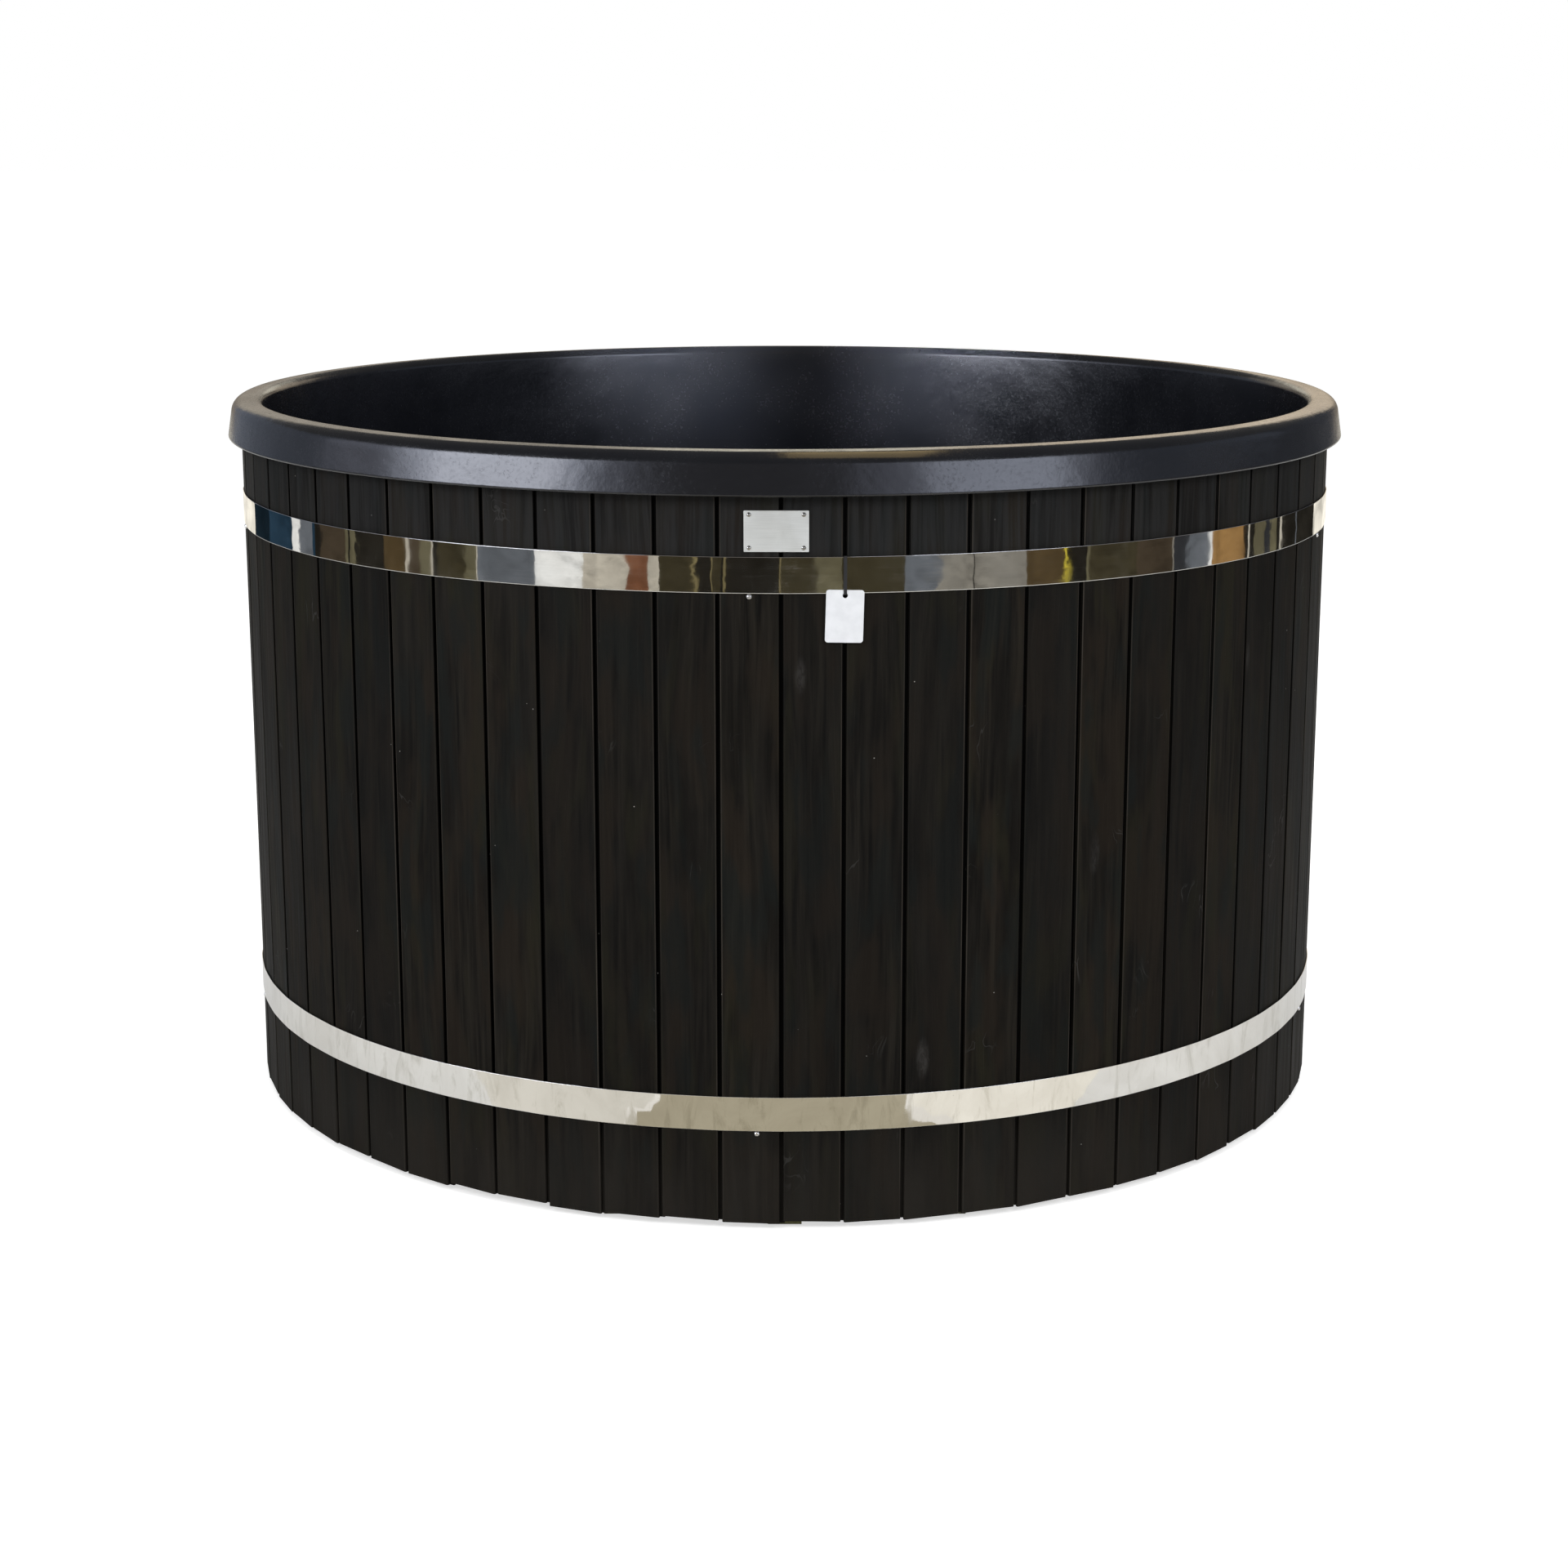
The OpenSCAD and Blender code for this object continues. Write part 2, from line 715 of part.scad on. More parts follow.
// A round-headed screw that stands in the face of a board at the front
module round_screw(r, head_r, head_h, shank_r, shank_l, z, x) {
  ball = (head_r * head_r + head_h * head_h) / (2 * head_h);
  radial_rod(shank_r, r - shank_l, r, z, x);
  intersection() {
    radial_rod(head_r, r, r + head_h, z, x);
    translate([x, -(r + head_h - ball), z]) sphere(r = ball, $fn = 48);
  }
}

function rest_az(k) = board_az(round(k * board_count / rest_count) - 1);
function rest_z(z) = z - rest_head_r - fit;

module rest_screws(z, shift) {
  color(steel)
  for (k = [0:rest_count - 1]) {
    at_az(rest_az(k))
      round_screw(body_r, rest_head_r, rest_head_h, rest_shank_r, rest_shank_l, rest_z(z), shift);
  }
}

module nameplate() {
  color(steel) at_az(plate_az)
  difference() {
    translate([-plate_w / 2, -plate_back_r - plate_t, plate_z - plate_h / 2])
      cube([plate_w, plate_t, plate_h]);
    plate_corners() {
      radial_rod(plate_shank_r + thread_gap, plate_back_r - over, plate_back_r + plate_t + over,
        plate_z);
    }
  }
}

// Puts a copy at each of the plate's four screws
module plate_corners() {
  for (x = [-1, 1], z = [-1, 1]) {
    translate([x * (plate_w / 2 - plate_inset_x), 0, z * (plate_h / 2 - plate_inset_z)]) children();
  }
}

module nameplate_screws() {
  color(steel) at_az(plate_az) plate_corners() {
    round_screw(plate_back_r + plate_t, plate_head_r, plate_head_h, plate_shank_r,
      plate_shank_l + plate_t, plate_z, 0);
  }
}

module hang_tag() {
  low = tag_top - tag_h;
  half = tag_w / 2;
  color(paper) at_az(tag_az)
  difference() {
    translate([0, -tag_back_r, 0]) rotate([90, 0, 0]) linear_extrude(tag_t)
    union() {
      translate([-half + tag_corner, low]) square([tag_w - 2 * tag_corner, tag_h]);
      translate([-half, low + tag_corner]) square([tag_w, tag_h - 2 * tag_corner]);
      for (x = [-1, 1], z = [low + tag_corner, tag_top - tag_corner]) {
        translate([x * (half - tag_corner), z]) circle(r = tag_corner, $fn = 32);
      }
    }
    radial_rod(tag_hole_r, tag_back_r - over, tag_back_r + tag_t + over, tag_hole_z);
  }
}

// A closed strip: behind the band, over its top edge, down its front and back through the tag
module tag_loop() {
  outer_r = loop_front_r + loop_t;
  inner_r = loop_back_r - loop_t;
  color(rubber) at_az(tag_az)
  difference() {
    translate([-loop_w / 2, -outer_r, loop_low_z - loop_t])
      cube([loop_w, outer_r - inner_r, loop_high_z - loop_low_z + 2 * loop_t]);
    translate([-loop_w, -loop_front_r, loop_low_z])
      cube([2 * loop_w, loop_front_r - loop_back_r, loop_high_z - loop_low_z]);
  }
}

module drain_outlet() {
  color(black_plastic)
  difference() {
    union() {
      drain_post(drain_flange_r, drain_gasket_z, drain_gasket_z + drain_flange_t);
      drain_post(drain_stem_r, joist_h, drain_gasket_z + over);
    }
    drain_post(drain_bore_r, joist_h - over, drain_gasket_z + drain_flange_t + over);
  }
}

module drain_gasket() {
  color(rubber)
  difference() {
    drain_post(drain_flange_r - gasket_inset, floor_z, drain_gasket_z);
    drain_post(drain_stem_r + fit, floor_z - over, drain_gasket_z + over);
  }
}

// A disc with a ring of slots
module slotted_disc(r, t) {
  difference() {
    cylinder(r = r, h = t, $fn = 96);
    for (i = [0:grille_slots - 1]) {
      rotate([0, 0, i * 360 / grille_slots]) translate([grille_hub_r, -grille_slot_w / 2, -over])
        cube([r - grille_edge_w - grille_hub_r, grille_slot_w, t + 2 * over]);
    }
  }
}

module drain_strainer() {
  color(steel) translate([drain_x, drain_y, drain_gasket_z + drain_flange_t])
    slotted_disc(drain_flange_r - disc_inset, strainer_t);
}

module drain_lock_nut() {
  color(black_plastic)
  difference() {
    drain_post(drain_nut_r, shell_bottom - drain_nut_t, shell_bottom, LOCK_SIDES);
    drain_post(drain_stem_r + thread_gap, joist_h, shell_bottom + over);
  }
}

module drain_pipe() {
  color(black_plastic)
  difference() {
    union() {
      drain_post(socket_r, drain_axis_z, socket_top);
      translate([drain_x, drain_y, drain_axis_z]) sphere(r = socket_r, $fn = 96);
      drain_rod(drain_pipe_r, drain_y, pipe_end);
    }
    drain_post(drain_stem_r + thread_gap, joist_h, socket_top + over);
    drain_post(drain_bore_r, drain_axis_z, socket_top);
    translate([drain_x, drain_y, drain_axis_z]) sphere(r = drain_bore_r, $fn = 96);
    drain_rod(drain_bore_r, drain_y, pipe_end + over);
  }
}

module drain_valve_body() {
  color(brass)
  difference() {
    union() {
      drain_rod(valve_r, valve_front, valve_back);
      drain_rod(valve_hex_r, valve_front - valve_hex_l, valve_front + over, HEX);
      drain_rod(valve_hex_r, valve_back - over, valve_back + valve_hex_l, HEX);
      translate([drain_x, valve_y, drain_axis_z]) cylinder(r = neck_r, h = neck_h, $fn = 96);
    }
    drain_rod(drain_pipe_r + thread_gap, valve_front - valve_hex_l - over, pipe_end + flat_gap);
    drain_rod(drain_bore_r, pipe_end, valve_back);
    drain_rod(tail_neck_r + thread_gap, valve_back - tail_insert - over, valve_back + valve_hex_l + over);
    translate([drain_x, valve_y, drain_axis_z]) sphere(r = ball_r + fit, $fn = 96);
    translate([drain_x, valve_y, drain_axis_z])
      cylinder(r = stem_r + thread_gap, h = neck_h + over, $fn = 96);
  }
}

module drain_valve_ball() {
  color(steel) translate([drain_x, valve_y, drain_axis_z])
  difference() {
    sphere(r = ball_r, $fn = 96);
    translate([-ball_r - over, 0, 0]) rotate([0, 90, 0])
      cylinder(r = ball_bore_r, h = 2 * (ball_r + over), $fn = 96);
    translate([0, 0, ball_r - stem_socket])
      cylinder(r = stem_r + face_gap, h = 2 * stem_socket, $fn = 96);
  }
}

module drain_valve_stem() {
  color(steel) translate([drain_x, valve_y, stem_low])
    cylinder(r = stem_r, h = stem_top - stem_low, $fn = 96);
}

// The lever points along +X while the valve is shut
module lever_outline(extra) {
  translate([0, -lever_w / 2 - extra]) square([lever_l - lever_w / 2, lever_w + 2 * extra]);
  translate([lever_l - lever_w / 2, 0]) circle(r = lever_w / 2 + extra, $fn = 64);
}

module drain_lever() {
  color(steel) translate([drain_x, valve_y, lever_z])
  difference() {
    union() {
      linear_extrude(lever_t) lever_outline(0);
      cylinder(r = neck_r, h = lever_t, $fn = 96);
    }
    translate([0, 0, -over]) cylinder(r = stem_r + face_gap, h = lever_t + 2 * over, $fn = 96);
  }
}

module drain_lever_grip() {
  start = lever_l - grip_l;
  color(grip_red) translate([drain_x, valve_y, lever_z])
  difference() {
    intersection() {
      translate([0, 0, -grip_t]) linear_extrude(lever_t + 2 * grip_t) lever_outline(grip_t);
      translate([start, -lever_w, -lever_w]) cube([grip_l + 2 * grip_t, 2 * lever_w, 2 * lever_w]);
    }
    translate([0, 0, -face_gap]) linear_extrude(lever_t + 2 * face_gap) lever_outline(face_gap);
  }
}

module drain_lever_nut() {
  color(steel) translate([drain_x, valve_y, lever_z + lever_t])
  difference() {
    cylinder(r = stem_r * hex_ratio, h = lever_nut_t, $fn = HEX);
    translate([0, 0, -over]) cylinder(r = stem_r + face_gap, h = lever_nut_t + 2 * over, $fn = 96);
  }
}

module drain_hose_tail() {
  color(brass)
  difference() {
    union() {
      drain_rod(tail_neck_r, valve_back - tail_insert, tail_flange_y + over);
      drain_rod(tail_flange_r, tail_flange_y, tail_start);
      drain_rod(tail_r, tail_start - over, tail_start + tail_l);
    }
    drain_rod(tail_bore_r, valve_back - tail_insert - over, tail_start + tail_l + over);
  }
}

module stove_pipe(z) {
  face = flange_face(z);
  color(steel) at_az(180)
  difference() {
    union() {
      radial_rod(pipe_flange_r, face - pipe_flange_t, face, z);
      radial_rod(pipe_thread_r, face - over, pipe_step_r, z);
      radial_rod(spigot_r, pipe_step_r - over, pipe_step_r + spigot_l, z);
    }
    radial_rod(pipe_bore_r, face - pipe_flange_t - over, pipe_step_r + spigot_l + over, z);
  }
}

module pipe_gasket(z) {
  color(rubber) at_az(180)
  difference() {
    radial_rod(pipe_flange_r - gasket_inset, flange_face(z), seat_in(z), z);
    radial_rod(pipe_thread_r + fit, flange_face(z) - over, seat_in(z) + over, z);
  }
}

module pipe_nut(z) {
  start = seat_out(z);
  color(black_plastic) at_az(180)
  difference() {
    radial_rod(pipe_nut_r, start, start + pipe_nut_t, z);
    radial_rod(pipe_thread_r + thread_gap, start - over, start + pipe_nut_t + over, z);
  }
}

module pipe_grille(z) {
  start = flange_face(z) - pipe_flange_t;
  color(steel) at_az(180) translate([0, -start, z]) rotate([-90, 0, 0])
    slotted_disc(pipe_flange_r - disc_inset, grille_t);
}

inner_tub();
bench_seat();
bench_riser();
bench_ribs();
wall_insulation();
floor_insulation();
base_deck();
for (i = [0:JOIST_NODES - 1]) {
  joist(i);
}
hoop(total_h - upper_hoop_drop - hoop_h);  // upper_hoop
hoop(middle_hoop_z);  // middle_hoop
hoop(shell_bottom + lower_hoop_lift);  // lower_hoop
for (k = [0:BOARD_NODES - 1]) {
  cladding_boards(k);
}
band(upper_band_z);  // upper_band
band(lower_band_z);  // lower_band
band_lugs(upper_band_z);  // upper_band_lugs
band_lugs(lower_band_z);  // lower_band_lugs
band_bolt(upper_band_z);  // upper_band_bolt
band_bolt(lower_band_z);  // lower_band_bolt
band_nut(upper_band_z);  // upper_band_nut
band_nut(lower_band_z);  // lower_band_nut
rest_screws(upper_band_z, 0);  // upper_band_rest_screws
rest_screws(lower_band_z, lower_rest_shift);  // lower_band_rest_screws
nameplate();
nameplate_screws();
hang_tag();
tag_loop();
drain_outlet();
drain_gasket();
drain_strainer();
drain_lock_nut();
drain_pipe();
drain_valve_body();
drain_valve_ball();
drain_valve_stem();
drain_lever();
drain_lever_grip();
drain_lever_nut();
drain_hose_tail();
stove_pipe(upper_pipe_z);  // upper_stove_pipe
stove_pipe(lower_pipe_z);  // lower_stove_pipe
pipe_gasket(upper_pipe_z);  // upper_pipe_gasket
pipe_gasket(lower_pipe_z);  // lower_pipe_gasket
pipe_nut(upper_pipe_z);  // upper_pipe_nut
pipe_nut(lower_pipe_z);  // lower_pipe_nut
pipe_grille(upper_pipe_z);  // upper_pipe_grille
pipe_grille(lower_pipe_z);  // lower_pipe_grille
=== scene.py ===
import json
import math
import random

import bmesh
import bpy
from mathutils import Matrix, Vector


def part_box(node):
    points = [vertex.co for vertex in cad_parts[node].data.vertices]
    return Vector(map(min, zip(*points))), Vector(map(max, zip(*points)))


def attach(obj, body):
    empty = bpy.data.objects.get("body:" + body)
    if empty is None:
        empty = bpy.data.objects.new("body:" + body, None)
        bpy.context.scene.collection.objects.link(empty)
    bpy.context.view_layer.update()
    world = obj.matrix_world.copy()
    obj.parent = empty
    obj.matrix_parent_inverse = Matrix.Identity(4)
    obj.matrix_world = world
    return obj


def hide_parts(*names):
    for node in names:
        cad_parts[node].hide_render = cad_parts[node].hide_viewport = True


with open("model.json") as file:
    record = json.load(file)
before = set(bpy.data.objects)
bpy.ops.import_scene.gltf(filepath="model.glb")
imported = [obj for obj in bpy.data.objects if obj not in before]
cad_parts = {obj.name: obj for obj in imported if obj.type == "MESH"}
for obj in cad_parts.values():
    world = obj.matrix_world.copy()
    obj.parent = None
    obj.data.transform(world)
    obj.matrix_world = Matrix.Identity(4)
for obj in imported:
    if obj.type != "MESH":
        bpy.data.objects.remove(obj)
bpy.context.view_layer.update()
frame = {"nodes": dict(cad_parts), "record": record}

MM = 0.001
BACK = math.pi
scene = bpy.context.scene


# Sizes that the frame gives
def heights(node):
    """The lowest and highest points of a CAD node."""
    low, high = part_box(node)
    return low.z, high.z


SHELL_BOTTOM, TOTAL_H = heights("inner_tub")
BOARD_BOTTOM, BOARD_TOP = heights("cladding_boards_1")
SEAT_TOP = heights("bench_seat")[1]
BAND_W = heights("upper_band")[1] - heights("upper_band")[0]

# Cladding
BODY_R = 867 * MM
BOARD_COUNT = 63
BOARDS_PER_NODE = 7
BOARD_T = 16 * MM
BOARD_GAP = 5 * MM
BOARD_EDGE_R = 2.4 * MM
TONGUE_T = 5 * MM
TONGUE_REACH = 5 * MM
GROOVE_GAP = 0.8 * MM
GROOVE_DEPTH_GAP = 1.5 * MM
BOARD_STEP = 2 * math.pi / BOARD_COUNT
JOINT_AZ = math.radians(-0.33)
FACE_HALF = BODY_R * math.tan(BOARD_STEP / 2) - BOARD_GAP / 2
CORNER_R = 867.825 * MM
HEIGHT_STEPS = 18

# Moulded shell
SHELL_T = 8 * MM
DRAFT = math.radians(1.3)
FLOOR_FILLET = 60 * MM
LIP_R = 6 * MM
SHOULDER_R = 12 * MM
RIM_OVERHANG = 16 * MM
RIM_H = 60 * MM
SKIRT_EDGE_R = 3 * MM
FLARE = math.radians(9)
TOP_FALL = math.radians(4)
SHELL_TOP_R = 834.4 * MM
SKIN = 0.35 * MM
WAVE_DEPTH = 0.12 * MM

# Bench
BENCH_T = 12 * MM
BENCH_NOSE_H = 48 * MM
BENCH_NOSE_R = 18 * MM
BENCH_FRONT_R = 430 * MM
BENCH_GAP = 1 * MM

# Pipes, and the holes that they go through
STOVE_PIPES = ("upper_stove_pipe", "lower_stove_pipe")
PIPE_SEAT_R = 56 * MM
PIPE_HOLE_R = 32.3 * MM
BOARD_HOLE_R = 33.5 * MM
DRAIN_HOLE_R = 28.3 * MM
DRAIN_NOTCH_R = 29 * MM
THREAD_PITCH = 2 * MM
CUT_MARGIN = 20 * MM

# Bands
BAND_IN_R = CORNER_R + 0.3 * MM
BAND_T = 1.2 * MM
BAND_END_GAP = 36 * MM
BAND_EDGE_R = 0.4 * MM
BAND_STEPS_PER_BOARD = 20
BAND_BLEND = math.radians(0.22)

# Screws, as (head radius, head height, shank radius, shank length)
REST_SCREW = (4 * MM, 3 * MM, 1.8 * MM, 13 * MM)
PLATE_SCREW = (3.2 * MM, 2 * MM, 1.5 * MM, 14 * MM)
REST_SCREW_COUNT = 5
REST_SCREW_DROP = 4.3 * MM
LOWER_SCREW_SHIFT = 9 * MM

# Plate above the upper band, and the tag that hangs from that band
PLATE_AZ = math.radians(-0.75)
PLATE_W, PLATE_H, PLATE_T = 88 * MM, 56 * MM, 1 * MM
PLATE_SCREW_X, PLATE_SCREW_Z = 37 * MM, 22.5 * MM
TAG_AZ = JOINT_AZ + BOARD_STEP
TAG_W, TAG_H, TAG_T = 52 * MM, 72 * MM, 0.8 * MM
TAG_HOLE_R = 3.5 * MM
TAG_HOLE_DROP = 7.5 * MM
TAG_BOW = 0.25 * MM
TAG_TILT = math.radians(-1.5)


# Geometry helpers
SQUARE = ((-1, -1), (1, -1), (1, 1), (-1, 1))


def middle(node):
    """The middle of a CAD node's box."""
    low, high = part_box(node)
    return [(a + b) / 2 for a, b in zip(low, high)]


def turned(azimuth, across, out, up):
    """A point drawn at the front, which faces -Y, turned round the tub."""
    sin, cos = math.sin(azimuth), math.cos(azimuth)
    return Vector((across * cos + out * sin, across * sin - out * cos, up))


def arc(centre_x, centre_z, radius, start, end, steps):
    """Points along an arc, with angles in degrees."""
    angles = [math.radians(start + (end - start) * i / steps) for i in range(steps + 1)]
    return [(centre_x + radius * math.cos(a), centre_z + radius * math.sin(a)) for a in angles]


def in_metres(start, *points):
    """Points in millimetres, (radius, distance out), moved out to a start in metres."""
    return [(radius * MM, start + out * MM) for radius, out in points]


def add_object(name, data):
    made = bpy.data.objects.new(name, data)
    scene.collection.objects.link(made)
    return made


def tidy(mesh, sharp_degrees=35):
    """Merges doubles, turns the faces outwards and sets smooth shading."""
    work = bmesh.new()
    work.from_mesh(mesh)
    bmesh.ops.remove_doubles(work, verts=work.verts, dist=0.01 * MM)
    bmesh.ops.recalc_face_normals(work, faces=work.faces)
    work.to_mesh(mesh)
    work.free()
    mesh.shade_smooth()
    mesh.set_sharp_from_angle(angle=math.radians(sharp_degrees))


def plain_mesh(name, points, faces):
    mesh = bpy.data.meshes.new(name)
    mesh.from_pydata([tuple(p) for p in points], [], faces)
    return mesh


def mesh_from(name, points, faces, sharp_degrees=35):
    mesh = plain_mesh(name, points, faces)
    tidy(mesh, sharp_degrees)
    return mesh


def add_piece(name, mesh, slot, nodes, body="tub", material=None):
    """Adds a piece that stands for CAD nodes and rides on their body."""
    piece = add_object(name, mesh)
    mesh.materials.clear()
    mesh.materials.append(MATERIALS[material or slot])
    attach(piece, body)
    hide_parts(*nodes)


def ring_faces(rows, columns, closed_rows, closed_columns):
    """Quads over a grid of points stored row by row."""
    faces = []
    for row in range(rows if closed_rows else rows - 1):
        here, above = row * columns, (row + 1) % rows * columns
        for left in range(columns if closed_columns else columns - 1):
            right = (left + 1) % columns
            faces.append((here + left, here + right, above + right, above + left))
    return faces


def capped_faces(rows, columns):
    """The faces of a bar stored as rows of one outline, with flat ends."""
    faces = ring_faces(rows, columns, False, True)
    faces.append(tuple(range(columns)))
    faces.append(tuple((rows - 1) * columns + i for i in range(columns - 1, -1, -1)))
    return faces


def lathe(profile, segments, wobble=None):
    """A solid of revolution round Z from a closed list of (radius, height)."""
    points = []
    for s in range(segments):
        angle = 2 * math.pi * s / segments
        for radius, height in profile:
            if wobble:
                radius, height = wobble(angle, radius, height)
            points.append(turned(angle, 0, radius, height))
    return points, ring_faces(segments, len(profile), True, True)


def radial_lathe(profile, azimuth, up, across=0.0, segments=64):
    """A solid of revolution round an outward axis, from (radius, distance out) points."""
    points = []
    for s in range(segments):
        angle = 2 * math.pi * s / segments
        side, rise = math.cos(angle), math.sin(angle)
        points += [turned(azimuth, across + r * side, out, up + r * rise) for r, out in profile]
    return points, ring_faces(segments, len(profile), True, True)


def back_rod(radius, near, far, up, segments=64):
    """A plain round bar that points out at the back."""
    return radial_lathe([(0, near), (radius, near), (radius, far), (0, far)], BACK, up, 0, segments)


def joined(parts):
    """Joins several (points, faces) pairs into one."""
    points, faces = [], []
    for part_points, part_faces in parts:
        base = len(points)
        points += part_points
        faces += [tuple(base + i for i in face) for face in part_faces]
    return points, faces


def evaluated_mesh(holder):
    """The mesh of an object with its modifiers applied."""
    bpy.context.view_layer.update()
    graph = bpy.context.evaluated_depsgraph_get()
    return bpy.data.meshes.new_from_object(holder.evaluated_get(graph))


def cut(mesh, cutters, operation="DIFFERENCE"):
    """Cuts solids given as (points, faces) out of a mesh, or joins them to it."""
    holder = add_object("cut_holder", mesh)
    tools = []
    for cutter in cutters:
        tool = add_object("cutter", mesh_from("cutter", *cutter))
        modifier = holder.modifiers.new("cut", "BOOLEAN")
        modifier.operation = operation
        modifier.solver = "EXACT"
        modifier.object = tool
        tools.append(tool)
    result = evaluated_mesh(holder)
    for used in tools + [holder]:
        bpy.data.objects.remove(used)
    return result


# Node trees
class Graph:
    """A node tree, emptied at first, with short calls for the nodes used here."""

    def __init__(self, owner, emptied=True):
        owner.use_nodes = True
        self.owner = owner
        self.tree = owner.node_tree
        if emptied:
            self.tree.nodes.clear()

    def node(self, kind, inputs=None, **settings):
        """Adds a node with its settings and its inputs."""
        made = self.tree.nodes.new("ShaderNode" + kind)
        for key, value in settings.items():
            setattr(made, key, value)
        self.fill(made, inputs or {})
        return made

    def fill(self, node, inputs):
        """Links or sets a node's inputs, given by name or number."""
        for key, value in inputs.items():
            socket = node.inputs[key]
            if isinstance(value, bpy.types.NodeSocket):
                self.tree.links.new(value, socket)
            elif socket.type == "RGBA":
                socket.default_value = (*value, 1.0)
            else:
                socket.default_value = value

    def place(self):
        """The point on the object, in metres."""
        return self.node("TexCoord").outputs["Object"]

    def height(self):
        """The height above the ground, in metres."""
        return self.node("SeparateXYZ", {0: self.place()}).outputs["Z"]

    def attribute(self, name, output="Vector"):
        return self.node("Attribute", attribute_name=name).outputs[output]

    def stretched(self, vector, scale):
        return self.node("Mapping", {"Vector": vector, "Scale": scale}).outputs["Vector"]

    def noise(self, vector, scale, detail=4.0, roughness=0.5, distortion=0.0):
        inputs = {"Vector": vector, "Scale": scale, "Detail": detail,
                  "Roughness": roughness, "Distortion": distortion}
        return self.node("TexNoise", inputs).outputs["Fac"]

    def streaks(self, vector, scale, detail=4.0, roughness=0.5, distortion=0.0):
        """Noise with its own scale along each axis."""
        return self.noise(self.stretched(vector, scale), 1.0, detail, roughness, distortion)

    def cells(self, vector, scale):
        return self.node("TexVoronoi", {"Vector": vector, "Scale": scale}).outputs["Distance"]

    def range(self, value, low, high, to_low=0.0, to_high=1.0, shape="SMOOTHSTEP"):
        inputs = dict(enumerate((value, low, high, to_low, to_high)))
        return self.node("MapRange", inputs, interpolation_type=shape).outputs["Result"]

    def maths(self, operation, first, second=0.0):
        return self.node("Math", {0: first, 1: second}, operation=operation).outputs["Value"]

    def times(self, first, second):
        return self.maths("MULTIPLY", first, second)

    def plus(self, first, second):
        return self.maths("ADD", first, second)

    def minus(self, first, second):
        return self.maths("SUBTRACT", first, second)

    def mix(self, share, first, second):
        return self.node("Mix", {0: share, 6: first, 7: second}, data_type="RGBA").outputs[2]

    def tint(self, colour, other, value, low, high, amount=1.0):
        """Turns a colour to another, by up to an amount, as a value goes from low to high."""
        return self.mix(self.range(value, low, high, 0.0, amount), colour, other)


class Surface(Graph):
    """A material with one Principled shader."""

    def __init__(self, name, metallic=0.0, specular=0.5):
        super().__init__(bpy.data.materials.new(name), emptied=False)
        self.shader = self.tree.nodes["Principled BSDF"]
        self.fill(self.shader, {"Metallic": metallic, "Specular IOR Level": specular})

    def finish(self, colour, roughness, *bumps):
        """Plugs the shader. Each bump is (height, distance, strength), on top of the one before."""
        chain = {}
        for height, distance, strength in bumps:
            inputs = {"Height": height, "Distance": distance, "Strength": strength, **chain}
            chain = {"Normal": self.node("Bump", inputs).outputs["Normal"]}
        self.fill(self.shader, {"Base Color": colour, "Roughness": roughness, **chain})
        return self.owner


# Materials
def moulded_plastic(name, dark, pale, roughness):
    """Moulded plastic with a fine peel, slow waves and sparse dust."""
    g = Surface(name)
    place = g.place()
    waves = g.noise(place, 5.0, 2.0)
    dents = g.noise(place, 38.0, 3.0, 0.6)
    cloud = g.noise(place, 9.0)
    film = g.noise(place, 210.0, 3.0, 0.6)
    peel = g.noise(place, 620.0, 2.0)
    dust = g.times(g.range(g.cells(place, 95.0), 0.045, 0.02),
                   g.range(g.noise(place, 23.0, 2.0), 0.60, 0.80, 0.0, 0.7))
    colour = g.tint(dark, pale, cloud, 0.3, 0.75)
    colour = g.mix(dust, colour, (0.0085, 0.0086, 0.0095))
    rough = g.range(cloud, 0.2, 0.85, roughness - 0.03, roughness + 0.05)
    rough = g.plus(rough, g.range(film, 0.45, 0.75, 0.0, 0.10))
    return g.finish(colour, rough, (waves, 0.008, 0.4), (dents, 0.0008, 0.5), (peel, 0.00006, 0.8))


WOOD_HUES = (
    ((0.0158, 0.0146, 0.0088), (24.0, 24.0, 5.0), 0.50, 0.65),
    ((0.0165, 0.0126, 0.0091), (19.0, 19.0, 5.6), 0.46, 0.60),
    ((0.0082, 0.0102, 0.0096), (27.0, 27.0, 6.6), 0.50, 0.60),
)


def swayed(g, grain):
    """The grain's place, which wanders a little from side to side as it goes up."""
    bend = g.streaks(grain, (9.0, 9.0, 1.6), 2.0)
    swing = g.node("CombineXYZ", {0: g.range(bend, 0.2, 0.8, -0.012, 0.012)}).outputs[0]
    return g.node("VectorMath", {0: grain, 1: swing}, operation="ADD").outputs[0]


def wood_knots(g, grain):
    """Where the rare knots are, and the strength of their rings."""
    place = g.stretched(grain, (13.0, 13.0, 4.2))
    pick = g.range(g.streaks(grain, (5.0, 5.0, 1.7), 1.0), 0.56, 0.63)
    knot = g.times(g.range(g.cells(place, 1.0), 0.16, 0.07), pick)
    rings = g.noise(place, 14.0, 2.0, 0.5, 1.5)
    return knot, g.times(knot, g.range(rings, 0.35, 0.65, 0.35, 0.9))


def wood_scuffs(g, grain):
    """Thin curled lines in a few places."""
    curl = g.streaks(grain, (26.0, 26.0, 15.0), 2.0, 0.5, 0.9)
    thin = g.range(g.maths("ABSOLUTE", g.minus(curl, 0.5)), 0.013, 0.003)
    return g.times(thin, g.range(g.noise(grain, 9.0, 2.0), 0.63, 0.74))


